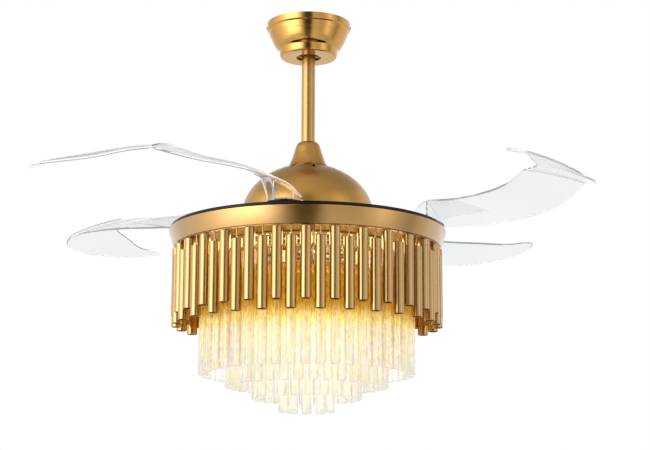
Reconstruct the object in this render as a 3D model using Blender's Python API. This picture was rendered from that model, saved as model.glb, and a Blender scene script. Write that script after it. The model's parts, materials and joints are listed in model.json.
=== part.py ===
"""Ceiling fan with a crystal chandelier under four folding clear blades.

The origin is the ceiling plane on the fan's axis and +Z points up, so every level is negative.
Lengths are in metres. The blades are modelled swept out, as they stand when the fan runs.
"""

import math

import bmesh
import bpy
from mathutils import Matrix, Vector

# Clearances and cuts
FIT_GAP = 0.0003
GEAR_BACKLASH = 0.0006
CUT_OVERRUN = 0.002
PIN_RADIUS = 0.003
PIN_SIDES = 8

# Ceiling hanger
HANGER_PLATE_RADIUS = 0.062
HANGER_THICKNESS = 0.003
HANGER_TAB_WIDTH = 0.020
HANGER_EAR_DROP = 0.014
SLOT_RADIUS = 0.0028
SLOT_REACH = 0.006
SLOT_PLACE = 0.048
CRADLE_SIDE_GAP = 0.004
CRADLE_RIM = 0.006
SEAT_MOUTH = 0.029

# Ball joint
BALL_DROP = 0.031
BALL_RADIUS = 0.022
BALL_FLAT = 0.012
LINER_THICKNESS = 0.003
LINER_LOW_ANGLE = math.radians(48)
LINER_HIGH_ANGLE = math.radians(74)
SEAT_ANGLE = math.radians(60)
BALL_SIDES = 16
BALL_STEPS = 8
LINER_STEPS = 3

# Canopy
CANOPY_RADIUS = 0.077
CANOPY_HEIGHT = 0.064
CANOPY_WALL = 0.0014
CANOPY_HOLE_RADIUS = 0.0225
CANOPY_SIDES = 30
CANOPY_SCREW_DROP = 0.0065
CANOPY_SCREW_HEAD_RADIUS = 0.0032
CANOPY_SCREW_HEAD_HEIGHT = 0.0022
CANOPY_SCREW_RADIUS = 0.0015

# Canopy outline as shares of its radius and of its height, from the ceiling down
CANOPY_OUTLINE_SHARES = (
    (1.0, 0.0),
    (1.0, 0.155),
    (0.985, 0.185),
    (0.952, 0.20),
    (0.947, 0.27),
    (0.905, 0.40),
    (0.838, 0.58),
    (0.750, 0.73),
    (0.700, 0.775),
    (0.692, 0.80),
    (0.688, 0.93),
    (0.665, 0.985),
    (0.640, 1.0),
)

# Points of that outline where the bowl starts and where the neck does
CANOPY_WAIST_POINT = 4
CANOPY_NECK_POINT = 9

# Parts inside the canopy
RECEIVER_LENGTH = 0.060
RECEIVER_WIDTH = 0.019
RECEIVER_HEIGHT = 0.018
TERMINAL_LENGTH = 0.030
TERMINAL_WIDTH = 0.014
TERMINAL_HEIGHT = 0.011
TERMINAL_SCREW_RADIUS = 0.002
TERMINAL_SCREW_HEIGHT = 0.0015

# Downrod and its coupling to the motor
ROD_RADIUS = 0.0125
ROD_WALL = 0.0018
ROD_STAND_OUT = 0.002
CONE_HEIGHT = 0.0465
CONE_BASE_RADIUS = 0.0368
CONE_WALL = 0.0012
CONE_LIFT = 0.0016
CONE_OUTLINE_SHARES = (
    (1.0, 0.0),
    (0.88, 0.16),
    (0.76, 0.40),
    (0.655, 0.67),
    (0.565, 0.87),
    (0.47, 0.96),
    (0.37, 1.0),
)
YOKE_FLANGE_RADIUS = 0.030
YOKE_FLANGE_THICKNESS = 0.005
YOKE_WALL = 0.0035
YOKE_GRIP = 0.034
YOKE_WEB = 0.004
YOKE_BOSS_HEIGHT = 0.010
YOKE_BOSS_WALL = 0.006
YOKE_BOLT_LIFT = 0.018
YOKE_BOLT_END = 0.004
YOKE_NUT_RADIUS = 0.0055
YOKE_NUT_THICKNESS = 0.003

# Dome over the motor, an elliptical cap on a short skirt
DOME_RADIUS = 0.1195
DOME_RISE = 0.0954
DOME_CENTRE_LIFT = 0.0306
DOME_SKIRT = 0.017
DOME_CROWN_RADIUS = 0.034
DOME_WALL = 0.0013
DOME_SIDES = 32
DOME_RINGS = 7
VENT_COUNT = 8
VENT_LENGTH = 0.014
VENT_WIDTH = 0.0042
VENT_START = 0.0385
VENT_PHASE = math.radians(10)
DOME_SCREW_PLACE = 0.0235
DOME_SCREW_COUNT = 2

# Motor: a fixed stator on a hollow shaft, inside a turning two-part shell
SHAFT_RADIUS = 0.0085
SHAFT_BORE_RADIUS = 0.0052
SHAFT_SIDES = 12
ROTOR_RADIUS = 0.082
ROTOR_HEIGHT = 0.070
ROTOR_WALL = 0.0022
ROTOR_SPLIT_SHARE = 0.45
BEARING_RADIUS = 0.016
BEARING_WIDTH = 0.008
MAGNET_THICKNESS = 0.005
AIR_GAP = 0.001
STATOR_HEIGHT = 0.026
WINDING_HEIGHT = 0.009
WINDING_INNER_RADIUS = 0.034
WINDING_MARGIN = 0.008
WINDING_LEG_COUNT = 6
WINDING_LEG_DEPTH = 0.010
WINDING_LEG_WIDTH = 0.012
ROTOR_SCREW_COUNT = 2
ROTOR_SCREW_PLACE = 0.072

# Blade carrier disc and the gears that keep the blades in step
DISC_LIFT = 0.001
DISC_INSET = 0.003
DISC_THICKNESS = 0.0055
DISC_HOLE_RADIUS = 0.060
BLADE_COUNT = 4
PIVOT_PHASE = math.radians(-9.5)
PIVOT_SHAFT_RADIUS = 0.005
PIVOT_SHAFT_SIDES = 8
HUB_RADIUS = 0.0335
HUB_THICKNESS = 0.003
HUB_EDGE = 0.001
HUB_SIDES = 16
GEAR_THICKNESS = 0.005
PINION_TEETH = 16
RING_TEETH = 128
SECTOR_TEETH = 7
RING_BAND = 0.015
PRESSURE_ANGLE = math.radians(20)
TOOTH_HEIGHT_SHARE = 0.8
TOOTH_DEPTH_SHARE = 1.05
PLAIN_ARC_STEP = math.radians(15)
PINION_BOSS_RADIUS = 0.009
PINION_BOSS_HEIGHT = 0.003
GUIDE_RADIUS = 0.005
GUIDE_RIM = 0.003
GUIDE_RIM_THICKNESS = 0.0015
GUIDE_COUNT = 4

# Clear blades
BLADE_REACH = 0.42
BLADE_RISE = 0.070
BLADE_THICKNESS = 0.0035
BLADE_CAMBER_SHARE = 0.032
FOOT_RADIUS = 0.031
FOOT_THICKNESS = 0.003
RIB_THICKNESS = 0.003
RIB_START_SHARE = 0.30
RIB_END_SHARE = 0.97
HOOD_WALL = 0.002
HOOD_START = math.radians(185)
HOOD_END = math.radians(315)
HOOD_REACH_SHARE = 0.095
HOOD_CORNER_SHARE = 0.97
HOOD_SPREAD_SHARE = 0.65
HOOD_FLARE_SHARE = 0.25
HOOD_RISE_SHARE = 0.75
HOOD_COLUMNS = 6
HOOD_ROWS = 4
PANEL_STATIONS = 8
BLADE_STATIONS = 2 * PANEL_STATIONS - 1
BLADE_STRIPS = 3
CENTRE_SCREW_RADIUS = 0.0022
CENTRE_SCREW_DEPTH = 0.005
CENTRE_SCREW_HEAD_RADIUS = 0.0065
CENTRE_SCREW_HEAD_HEIGHT = 0.0028

# Blade edges in the blade's own frame, x pointing away from the fan's axis: along and across as
# shares of the reach, height as a share of the rise. The sheet is creased between the fifth points
CREASE_POINT = 4
OUTER_EDGE_SHARES = (
    (0.07, 0.08, 0.0),
    (0.31, 0.06, 0.04),
    (0.50, -0.06, 0.12),
    (0.61, -0.23, 0.23),
    (0.675, -0.37, 0.39),
    (0.72, -0.455, 0.26),
    (0.69, -0.60, 0.21),
    (0.59, -0.80, 0.29),
    (0.40, -0.945, 0.50),
)
INNER_EDGE_SHARES = (
    (0.01, -0.05, 0.54),
    (0.13, -0.09, 0.50),
    (0.25, -0.135, 0.56),
    (0.35, -0.235, 0.64),
    (0.43, -0.345, 0.86),
    (0.49, -0.49, 0.72),
    (0.485, -0.66, 0.63),
    (0.46, -0.82, 0.52),
    (0.38, -0.93, 0.50),
)

# Lamp body
BAND_DROP = 0.395
BAND_TOP_RADIUS = 0.250
BAND_TAPER = 0.009
BAND_HEIGHT = 0.030
BAND_WALL = 0.0015
BAND_LIP = 0.015
BAND_SIDES = 48
PLATE_THICKNESS = 0.0015
PLATE_SCREW_COUNT = 2
LAMP_NUT_RADIUS = 0.014
LAMP_NUT_THICKNESS = 0.006
NUT_SIDES = 6
SHAFT_TAIL = 0.004
DRIVER_LENGTH = 0.085
DRIVER_WIDTH = 0.032
DRIVER_HEIGHT = 0.014
DRIVER_PLACE_SHARE = 0.46
BOARD_THICKNESS = 0.0016
BOARD_WIDTH = 0.018
BOARD_ARM_WIDTH = 0.010
BOARD_ARM_SKIN_SHARE = 0.125

# Gold tubes, hung in pairs of a high and a low one
TUBE_RADIUS = 0.0095
TUBE_WALL = 0.0009
TUBE_LENGTH = 0.1217
TUBE_PITCH = 0.0243
TUBE_HANG = 0.002
TUBE_STAGGER = 0.016
TUBE_STAND_OUT = 0.0015
TUBE_SIDES = 7
HOOK_RADIUS = 0.0014
HOOK_SIDES = 4
HOOK_RING_WIDTH = 0.010
HOOK_RING_THICKNESS = 0.001

# Crystal rods in four tiers, each smaller and lower than the one round it
TIER_COUNT = 4
SKIRT_GAP = 0.0309
INNER_TIER_SHARE = 0.2304
TIER_DROP = 0.0215
OUTER_TIER_HANG = 0.0273
CRYSTAL_LENGTH = 0.200
CRYSTAL_RADIUS = 0.009
CRYSTAL_PITCH = 0.0250
CRYSTAL_SIDES = 6
TIER_RING_WIDTH = 0.0205
TIER_RING_THICKNESS = 0.0015
STANDOFF_RADIUS = 0.002
STANDOFF_COUNT = 4
STANDOFF_PHASE = math.radians(4)

# Small screws
SCREW_RADIUS = 0.0016
SCREW_HEAD_RADIUS = 0.0032
SCREW_HEAD_HEIGHT = 0.0018
SCREW_SIDES = 6

# Levels, worked out from the sizes above
BALL_LEVEL = -BALL_DROP
BAND_TOP = -BAND_DROP
BAND_BOTTOM = BAND_TOP - BAND_HEIGHT
DISC_BOTTOM = BAND_TOP + DISC_LIFT
DISC_TOP = DISC_BOTTOM + DISC_THICKNESS
HUB_TOP = DISC_TOP + FIT_GAP + HUB_THICKNESS
BLADE_LEVEL = HUB_TOP + FIT_GAP
SHELL_BOTTOM = DISC_TOP + FIT_GAP
SHELL_TOP = SHELL_BOTTOM + ROTOR_HEIGHT
SHELL_SPLIT = SHELL_BOTTOM + ROTOR_HEIGHT * ROTOR_SPLIT_SHARE
MOTOR_MIDDLE = SHELL_BOTTOM + ROTOR_HEIGHT / 2
DOME_CENTRE = BAND_TOP + DOME_CENTRE_LIFT
CROWN_LEVEL = DOME_CENTRE + DOME_RISE * math.sqrt(1 - (DOME_CROWN_RADIUS / DOME_RADIUS) ** 2)
FLANGE_TOP = CROWN_LEVEL - DOME_WALL - FIT_GAP
ROD_BOTTOM = FLANGE_TOP + YOKE_WEB
ROD_TOP = BALL_LEVEL + BALL_FLAT + ROD_STAND_OUT
SHAFT_TOP = ROD_BOTTOM - FIT_GAP
PLATE_BOTTOM = BAND_BOTTOM + BAND_WALL + FIT_GAP
PLATE_TOP = PLATE_BOTTOM + PLATE_THICKNESS
SHAFT_BOTTOM = PLATE_BOTTOM - FIT_GAP - LAMP_NUT_THICKNESS - SHAFT_TAIL
GEAR_TOP = DISC_BOTTOM - FIT_GAP
GEAR_BOTTOM = GEAR_TOP - GEAR_THICKNESS
BAND_BOTTOM_RADIUS = BAND_TOP_RADIUS - BAND_TAPER
DISC_RADIUS = BAND_TOP_RADIUS - DISC_INSET
PIVOT_RADIUS = DISC_RADIUS - HUB_RADIUS + FIT_GAP
GEAR_MODULE = 2 * PIVOT_RADIUS / (PINION_TEETH + RING_TEETH)
TUBE_PLACE = BAND_BOTTOM_RADIUS + TUBE_STAND_OUT - TUBE_RADIUS
OUTER_TIER_RADIUS = TUBE_PLACE - TUBE_RADIUS - SKIRT_GAP - CRYSTAL_RADIUS
TIER_STEP = OUTER_TIER_RADIUS * (1 - INNER_TIER_SHARE) / (TIER_COUNT - 1)
LINER_INNER_RADIUS = (BALL_RADIUS + FIT_GAP) / math.cos(math.pi / BALL_SIDES)
LINER_OUTER_RADIUS = LINER_INNER_RADIUS + LINER_THICKNESS
COLLAR_RADIUS = ROD_RADIUS + FIT_GAP + YOKE_WALL

FULL_TURN = 2 * math.pi


# Meshes

def mesh_from(build):
    """A new mesh holding what build(bm) adds, closed and facing out."""
    bm = bmesh.new()
    build(bm)
    bmesh.ops.recalc_face_normals(bm, faces=bm.faces)
    mesh = bpy.data.meshes.new("shape")
    bm.to_mesh(mesh)
    bm.free()
    return mesh


def clear_radius(radius, sides):
    """The corner radius of a bore of so many sides that stays clear of a round shaft."""
    return radius / math.cos(math.pi / sides)


def turned(outline, sides, start=0.0):
    """An outline of (radius, height) points swept round Z, closed by flat ends where it meets the axis."""
    rings = [point for point in outline if point[0] > 0]
    closed = len(rings) == len(outline)

    def build(bm):
        columns = []
        for x, y in circle(1, sides, start):
            columns.append([bm.verts.new((radius * x, radius * y, level)) for radius, level in rings])
        for step, here in enumerate(columns):
            there = columns[(step + 1) % sides]
            for index in range(len(rings) if closed else len(rings) - 1):
                after = (index + 1) % len(rings)
                bm.faces.new((here[index], there[index], there[after], here[after]))
        if not closed:
            bm.faces.new([column[0] for column in columns])
            bm.faces.new([column[-1] for column in columns])

    return mesh_from(build)


def circle(radius, sides, start=0.0):
    """The corners of a regular polygon, counter-clockwise."""
    angles = [start + FULL_TURN * step / sides for step in range(sides)]
    return [(radius * math.cos(angle), radius * math.sin(angle)) for angle in angles]


def rod(radius, low, high, sides):
    """A solid round bar along Z."""
    return prism(circle(radius, sides), low, high)


def washer(inner, outer, low, high, sides, start=0.0):
    """A flat ring or a plain tube along Z."""
    return turned(((inner, low), (outer, low), (outer, high), (inner, high)), sides, start)


def prism(outline, low, high):
    """A flat outline of (x, y) points, raised from one level to another."""

    def build(bm):
        floor = [bm.verts.new((x, y, low)) for x, y in outline]
        roof = [bm.verts.new((x, y, high)) for x, y in outline]
        bm.faces.new(floor)
        bm.faces.new(roof)
        for index in range(len(outline)):
            after = (index + 1) % len(outline)
            bm.faces.new((floor[index], floor[after], roof[after], roof[index]))

    return mesh_from(build)


def block(length, width, low, high, x=0.0, y=0.0):
    """A box centred on (x, y) between two levels."""
    sides = ((-1, -1), (1, -1), (1, 1), (-1, 1))
    return prism([(x + length / 2 * a, y + width / 2 * b) for a, b in sides], low, high)


def placed(mesh, x=0.0, y=0.0, z=0.0, turn=0.0, tip=0.0):
    """The mesh tipped about Y, turned about Z and then moved, as a copy."""
    copy = mesh.copy()
    turning = Matrix.Rotation(turn, 4, "Z") @ Matrix.Rotation(tip, 4, "Y")
    copy.transform(Matrix.Translation((x, y, z)) @ turning)
    return copy


def gathered(meshes):
    """Several meshes as separate solids of one mesh."""
    bm = bmesh.new()
    for mesh in meshes:
        bm.from_mesh(mesh)
    joined = bpy.data.meshes.new("group")
    bm.to_mesh(joined)
    bm.free()
    return joined


def copies_around(mesh, count, radius=0.0, phase=0.0):
    """Copies of a mesh at equal angles about Z, each moved out by the radius first."""
    angles = [phase + FULL_TURN * step / count for step in range(count)]
    return [placed(mesh, radius * math.cos(angle), radius * math.sin(angle), turn=angle) for angle in angles]


def around(mesh, count, radius=0.0, phase=0.0):
    """The same copies as one tool for a cut or a union."""
    return gathered(copies_around(mesh, count, radius, phase))


def combined(base, others, operation):
    """The base mesh with the others fused to it or cut from it, one after another."""
    body = bpy.data.objects.new("working", base)
    bpy.context.collection.objects.link(body)
    used = [body]
    for shape in others:
        tool = bpy.data.objects.new("tool", shape)
        bpy.context.collection.objects.link(tool)
        change = body.modifiers.new(operation, "BOOLEAN")
        change.operation = operation
        change.solver = "EXACT"
        change.object = tool
        used.append(tool)
    graph = bpy.context.evaluated_depsgraph_get()
    result = bpy.data.meshes.new_from_object(body.evaluated_get(graph))
    for item in used:
        bpy.data.objects.remove(item)
    return result


def cut(base, *tools):
    return combined(base, tools, "DIFFERENCE")


def fused(base, *others):
    return combined(base, others, "UNION")


def offset_inward(points, wall):
    """An open (radius, height) line moved square to itself, to its left, by the wall."""
    moved = []
    for index, point in enumerate(points):
        normals = []
        for first, second in ((index - 1, index), (index, index + 1)):
            if first >= 0 and second < len(points):
                along = Vector(points[second]) - Vector(points[first])
                normals.append(Vector((-along.y, along.x)).normalized())
        total = sum(normals, Vector((0, 0)))
        scale = len(normals) * wall / total.length_squared
        moved.append((point[0] + total.x * scale, point[1] + total.y * scale))
    return moved


def shell_outline(points, lining, wall):
    """The closed outline of a thin shell: its outer line and, a wall inside, a plainer lining."""
    return list(points) + offset_inward(lining, -wall)[::-1]


def screw(head_radius, head_height, radius, length):
    """A round-headed screw pointing down, the underside of its head at 0."""
    shank = ((0, -length), (radius, -length), (radius, 0))
    head = ((head_radius, 0), (head_radius, head_height), (0, head_height))
    return turned(shank + head, SCREW_SIDES)


def small_screw(length):
    return screw(SCREW_HEAD_RADIUS, SCREW_HEAD_HEIGHT, SCREW_RADIUS, length)


def screw_hole(low, high):
    """The cutter of a small screw's hole, past both faces."""
    radius = clear_radius(SCREW_RADIUS + FIT_GAP, SCREW_SIDES)
    return rod(radius, low - CUT_OVERRUN, high + CUT_OVERRUN, SCREW_SIDES)


# Materials and objects

def material(name, colour, roughness, metallic=0.0, transmission=0.0, glow=0.0):
    finish = bpy.data.materials.new(name)
    finish.use_nodes = True
    shader = finish.node_tree.nodes["Principled BSDF"]
    shader.inputs["Base Color"].default_value = (*colour, 1)
    shader.inputs["Roughness"].default_value = roughness
    shader.inputs["Metallic"].default_value = metallic
    shader.inputs["Transmission Weight"].default_value = transmission
    shader.inputs["Emission Color"].default_value = (*colour, 1)
    shader.inputs["Emission Strength"].default_value = glow
    finish.diffuse_color = (*colour, 1)
    return finish


def add(name, mesh, finish, parent=None, crease=math.radians(32)):
    """One named piece. Its mesh is in world places, and its parent carries the joint's axis."""
    piece = bpy.data.objects.new(name, mesh)
    bpy.context.collection.objects.link(piece)
    mesh.materials.clear()
    mesh.materials.append(finish)
    mesh.shade_smooth()
    mesh.set_sharp_from_angle(angle=crease)
    if parent:
        piece.parent = parent
        piece.matrix_parent_inverse = parent.matrix_world.inverted()
    return piece


def pivot(name, x, y, z, parent=None):
    """An empty on a joint's axis."""
    empty = bpy.data.objects.new(name, None)
    bpy.context.collection.objects.link(empty)
    empty.location = (x, y, z)
    bpy.context.view_layer.update()
    if parent:
        empty.parent = parent
        empty.matrix_parent_inverse = parent.matrix_world.inverted()
        bpy.context.view_layer.update()
    return empty


# Ceiling hanger and canopy

def canopy_line():
    """The canopy's outer line, from the ceiling to the edge of the rod's hole."""
    line = [(CANOPY_RADIUS * r, -CANOPY_HEIGHT * h) for r, h in CANOPY_OUTLINE_SHARES]
    return line + [(CANOPY_HOLE_RADIUS, -CANOPY_HEIGHT)]


def canopy():
    line = canopy_line()
    waist = line[CANOPY_WAIST_POINT]
    lining = [(waist[0], 0), waist] + line[CANOPY_WAIST_POINT + 2:CANOPY_NECK_POINT:2] + line[-2:]
    shell = turned(shell_outline(line, lining, CANOPY_WALL), CANOPY_SIDES)
    radius = clear_radius(CANOPY_SCREW_RADIUS + FIT_GAP, SCREW_SIDES)
    hole = placed(rod(radius, -CANOPY_RADIUS - CUT_OVERRUN, CANOPY_RADIUS + CUT_OVERRUN, SCREW_SIDES),
                  z=-CANOPY_SCREW_DROP, tip=math.pi / 2)
    return cut(shell, hole)


def ear_radius():
    """How far from the axis the outer faces of the hanger's ears stand."""
    return canopy_line()[CANOPY_WAIST_POINT][0] - CANOPY_WALL - CRADLE_SIDE_GAP / 2


def canopy_screws():
    """Two thumb screws that hold the canopy to the hanger's ears."""
    place = CANOPY_RADIUS + FIT_GAP
    length = place - ear_radius() + HANGER_THICKNESS + FIT_GAP
    one = screw(CANOPY_SCREW_HEAD_RADIUS, CANOPY_SCREW_HEAD_HEIGHT, CANOPY_SCREW_RADIUS, length)
    return copies_around(placed(one, tip=math.pi / 2, z=-CANOPY_SCREW_DROP), 2, radius=place)


def seat_radius():
    """The radius of the round seat that the ball's liner rests in."""
    return (LINER_OUTER_RADIUS + FIT_GAP) * math.sin(SEAT_ANGLE)


def cradle_side():
    """Half the width of the cradle."""
    return seat_radius() + CRADLE_RIM


def hanger_bracket():
    """The ceiling plate with its cradle, whose seat has a mouth that the rod slides in through."""
    seat_top = BALL_LEVEL - (LINER_OUTER_RADIUS + FIT_GAP) * math.cos(SEAT_ANGLE)
    seat_low = seat_top - HANGER_THICKNESS
    arm_inside = LINER_OUTER_RADIUS + CRADLE_SIDE_GAP
    width = 2 * cradle_side()
    inner_ear = ear_radius() - HANGER_THICKNESS
    bury = HANGER_THICKNESS / 2
    plate = rod(HANGER_PLATE_RADIUS, -HANGER_THICKNESS, 0, CANOPY_SIDES)
    tabs = block(2 * ear_radius(), HANGER_TAB_WIDTH, -HANGER_THICKNESS - FIT_GAP, -FIT_GAP)
    ear = block(HANGER_THICKNESS, HANGER_TAB_WIDTH - 2 * FIT_GAP, -HANGER_EAR_DROP, -bury)
    ears = around(ear, 2, radius=inner_ear + HANGER_THICKNESS / 2 - FIT_GAP)
    strap = block(2 * (arm_inside + HANGER_THICKNESS), width, seat_low, -bury)
    room = block(2 * arm_inside, width + CUT_OVERRUN, seat_top, -HANGER_THICKNESS - FIT_GAP)
    bracket = fused(plate, tabs, ears, cut(strap, room))
    low = seat_low - CUT_OVERRUN
    high = seat_top + CUT_OVERRUN
    seat = rod(clear_radius(seat_radius(), BALL_SIDES), low, high, BALL_SIDES)
    mouth = block(SEAT_MOUTH, width, low, high, y=-width / 2)
    slot = block(2 * SLOT_REACH, 2 * SLOT_RADIUS, -HANGER_THICKNESS - CUT_OVERRUN, CUT_OVERRUN)
    slots = around(slot, 2, radius=SLOT_PLACE)
    radius = clear_radius(CANOPY_SCREW_RADIUS + FIT_GAP, SCREW_SIDES)
    thread = rod(radius, inner_ear - CUT_OVERRUN, ear_radius() + CUT_OVERRUN, SCREW_SIDES)
    threads = around(placed(thread, z=-CANOPY_SCREW_DROP, tip=math.pi / 2), 2)
    return cut(bracket, seat, mouth, slots, threads)


def receiver_box():
    """The remote control's receiver, clipped under the hanger plate beside the cradle."""
    level = -HANGER_THICKNESS - FIT_GAP
    place = cradle_side() + FIT_GAP + RECEIVER_WIDTH / 2
    return block(RECEIVER_LENGTH, RECEIVER_WIDTH, level - RECEIVER_HEIGHT, level, y=place)


def terminal_block():
    """The mains terminal block with its three clamp screws in one row."""
    level = -HANGER_THICKNESS - FIT_GAP
    place = -cradle_side() - FIT_GAP - TERMINAL_WIDTH / 2
    body = block(TERMINAL_LENGTH, TERMINAL_WIDTH, level - TERMINAL_HEIGHT, level, y=place)
    low = level - TERMINAL_HEIGHT - TERMINAL_SCREW_HEIGHT
    head = rod(TERMINAL_SCREW_RADIUS, low, level - TERMINAL_HEIGHT / 2, SCREW_SIDES)
    return fused(body, *[placed(head, x=TERMINAL_LENGTH / 3 * step, y=place) for step in (-1, 0, 1)])


# Ball joint

def arc(radius, first, last, steps):
    """Points of a (radius, height) arc about the ball's middle, angles taken from straight down."""
    angles = [first + (last - first) * step / steps for step in range(steps + 1)]
    return [(radius * math.sin(angle), BALL_LEVEL - radius * math.cos(angle)) for angle in angles]


def ball_liner():
    """The rubber ring between the ball and its seat."""
    inside = arc(LINER_INNER_RADIUS, LINER_HIGH_ANGLE, LINER_LOW_ANGLE, LINER_STEPS)
    outside = arc(LINER_OUTER_RADIUS, LINER_LOW_ANGLE, LINER_HIGH_ANGLE, LINER_STEPS)
    return turned(inside + outside, BALL_SIDES)


def hanger_ball():
    bore = clear_radius(ROD_RADIUS + FIT_GAP, BALL_SIDES)
    low = math.asin(bore / BALL_RADIUS)
    high = math.pi - math.acos(BALL_FLAT / BALL_RADIUS)
    outline = arc(BALL_RADIUS, low, high, BALL_STEPS) + [(bore, BALL_LEVEL + BALL_FLAT)]
    return cut(turned(outline, BALL_SIDES), cross_hole(BALL_LEVEL, BALL_RADIUS))


def cross_hole(level, reach):
    """The cutter of a pin hole along X."""
    radius = clear_radius(PIN_RADIUS + FIT_GAP, PIN_SIDES)
    half = reach + CUT_OVERRUN
    return placed(rod(radius, -half, half, PIN_SIDES), z=level, tip=math.pi / 2)


def ball_pin():
    reach = BALL_RADIUS - FIT_GAP - PIN_RADIUS / 2
    return placed(rod(PIN_RADIUS, -reach, reach, PIN_SIDES), z=BALL_LEVEL, tip=math.pi / 2)


# Downrod, yoke and their cover

def downrod():
    tube = washer(ROD_RADIUS - ROD_WALL, ROD_RADIUS, ROD_BOTTOM, ROD_TOP, BALL_SIDES)
    bolt_level = FLANGE_TOP + YOKE_BOLT_LIFT
    return cut(tube, cross_hole(BALL_LEVEL, ROD_RADIUS), cross_hole(bolt_level, ROD_RADIUS))


def yoke():
    """The collar that grips the rod and the hollow motor shaft, with a flange for the dome."""
    bore = clear_radius(ROD_RADIUS + FIT_GAP, BALL_SIDES)
    neck = clear_radius(SHAFT_RADIUS + FIT_GAP, BALL_SIDES)
    boss = neck + YOKE_BOSS_WALL
    flange_bottom = FLANGE_TOP - YOKE_FLANGE_THICKNESS
    outline = (
        (neck, flange_bottom - YOKE_BOSS_HEIGHT),
        (boss, flange_bottom - YOKE_BOSS_HEIGHT),
        (boss, flange_bottom),
        (YOKE_FLANGE_RADIUS, flange_bottom),
        (YOKE_FLANGE_RADIUS, FLANGE_TOP),
        (COLLAR_RADIUS, FLANGE_TOP),
        (COLLAR_RADIUS, FLANGE_TOP + YOKE_GRIP),
        (bore, FLANGE_TOP + YOKE_GRIP),
        (bore, ROD_BOTTOM - FIT_GAP),
        (neck, ROD_BOTTOM - FIT_GAP),
    )
    holes = around(screw_hole(flange_bottom, FLANGE_TOP), DOME_SCREW_COUNT, radius=DOME_SCREW_PLACE)
    bolt_hole = cross_hole(FLANGE_TOP + YOKE_BOLT_LIFT, COLLAR_RADIUS)
    return cut(turned(outline, BALL_SIDES), bolt_hole, holes)


def yoke_bolt():
    """The cross bolt through the yoke and the rod, with its head and its nut."""
    reach = COLLAR_RADIUS + YOKE_BOLT_END
    nut = YOKE_NUT_THICKNESS
    near = COLLAR_RADIUS + FIT_GAP
    outline = (
        (0, -reach),
        (PIN_RADIUS, -reach),
        (PIN_RADIUS, -near - nut),
        (YOKE_NUT_RADIUS, -near - nut),
        (YOKE_NUT_RADIUS, -near),
        (PIN_RADIUS, -near),
        (PIN_RADIUS, near),
        (YOKE_NUT_RADIUS, near),
        (YOKE_NUT_RADIUS, near + nut),
        (0, near + nut),
    )
    return placed(turned(outline, PIN_SIDES), z=FLANGE_TOP + YOKE_BOLT_LIFT, tip=math.pi / 2)


def coupling_cover():
    """The flared cover over the yoke, sliding on the rod."""
    base = CROWN_LEVEL + CONE_LIFT
    line = [(CONE_BASE_RADIUS * r, base + CONE_HEIGHT * h) for r, h in CONE_OUTLINE_SHARES]
    line[-1] = (clear_radius(ROD_RADIUS + FIT_GAP, BALL_SIDES), base + CONE_HEIGHT)
    line = line[::-1]
    return turned(shell_outline(line, [line[0]] + line[1:-1:2] + [line[-1]], CONE_WALL), BALL_SIDES)


def dome_line():
    """The dome's outer line, from the edge of its crown down to the foot of its skirt."""
    first = math.acos(DOME_CROWN_RADIUS / DOME_RADIUS)
    angles = [first * (1 - step / DOME_RINGS) for step in range(DOME_RINGS + 1)]
    line = [(DOME_RADIUS * math.cos(angle), DOME_CENTRE + DOME_RISE * math.sin(angle)) for angle in angles]
    collar_hole = clear_radius(COLLAR_RADIUS + FIT_GAP, DOME_SIDES)
    return [(collar_hole, CROWN_LEVEL)] + line + [(DOME_RADIUS, DOME_CENTRE - DOME_SKIRT)]


def dome():
    """The cap over the motor, with a ring of short vents round its crown."""
    line = dome_line()
    shell = turned(shell_outline(line, line[:1] + line[1:-1:2] + line[-1:], DOME_WALL), DOME_SIDES)
    middle = VENT_START + VENT_LENGTH / 2
    vent = block(VENT_LENGTH, VENT_WIDTH, CROWN_LEVEL - DOME_CROWN_RADIUS, CROWN_LEVEL + CUT_OVERRUN)
    vents = around(vent, VENT_COUNT, radius=middle, phase=VENT_PHASE - math.pi / 2)
    hole = screw_hole(CROWN_LEVEL - DOME_WALL, CROWN_LEVEL)
    holes = around(hole, DOME_SCREW_COUNT, radius=DOME_SCREW_PLACE)
    return cut(shell, vents, holes)


def dome_screws():
    one = small_screw(DOME_WALL + YOKE_FLANGE_THICKNESS)
    return copies_around(placed(one, z=CROWN_LEVEL + FIT_GAP), DOME_SCREW_COUNT, radius=DOME_SCREW_PLACE)


# Motor

def motor_shaft():
    return washer(SHAFT_BORE_RADIUS, SHAFT_RADIUS, SHAFT_BOTTOM, SHAFT_TOP, SHAFT_SIDES)


def shell_half(low, high, wall_low, wall_high):
    """Half of the rotor's shell: an end plate between low and high and the side wall that it carries."""
    bore = clear_radius(BEARING_RADIUS + FIT_GAP, CANOPY_SIDES)
    inside = ROTOR_RADIUS - ROTOR_WALL
    if wall_high > high:
        wall = ((ROTOR_RADIUS, low), (ROTOR_RADIUS, wall_high), (inside, wall_high), (inside, high))
    else:
        wall = ((inside, low), (inside, wall_low), (ROTOR_RADIUS, wall_low), (ROTOR_RADIUS, high))
    return turned(((bore, low), *wall, (bore, high)), CANOPY_SIDES)


def rotor_lower_shell():
    high = SHELL_BOTTOM + ROTOR_WALL
    shell = shell_half(SHELL_BOTTOM, high, SHELL_BOTTOM, SHELL_SPLIT)
    return cut(shell, around(screw_hole(SHELL_BOTTOM, high), ROTOR_SCREW_COUNT, radius=ROTOR_SCREW_PLACE))


def rotor_upper_shell():
    return shell_half(SHELL_TOP - ROTOR_WALL, SHELL_TOP, SHELL_SPLIT + FIT_GAP, SHELL_TOP)


def rotor_screws():
    """Screws up through the carrier disc into the rotor's lower shell."""
    one = placed(small_screw(DISC_THICKNESS + ROTOR_WALL), tip=math.pi, z=DISC_BOTTOM - FIT_GAP)
    return copies_around(one, ROTOR_SCREW_COUNT, radius=ROTOR_SCREW_PLACE)


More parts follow.
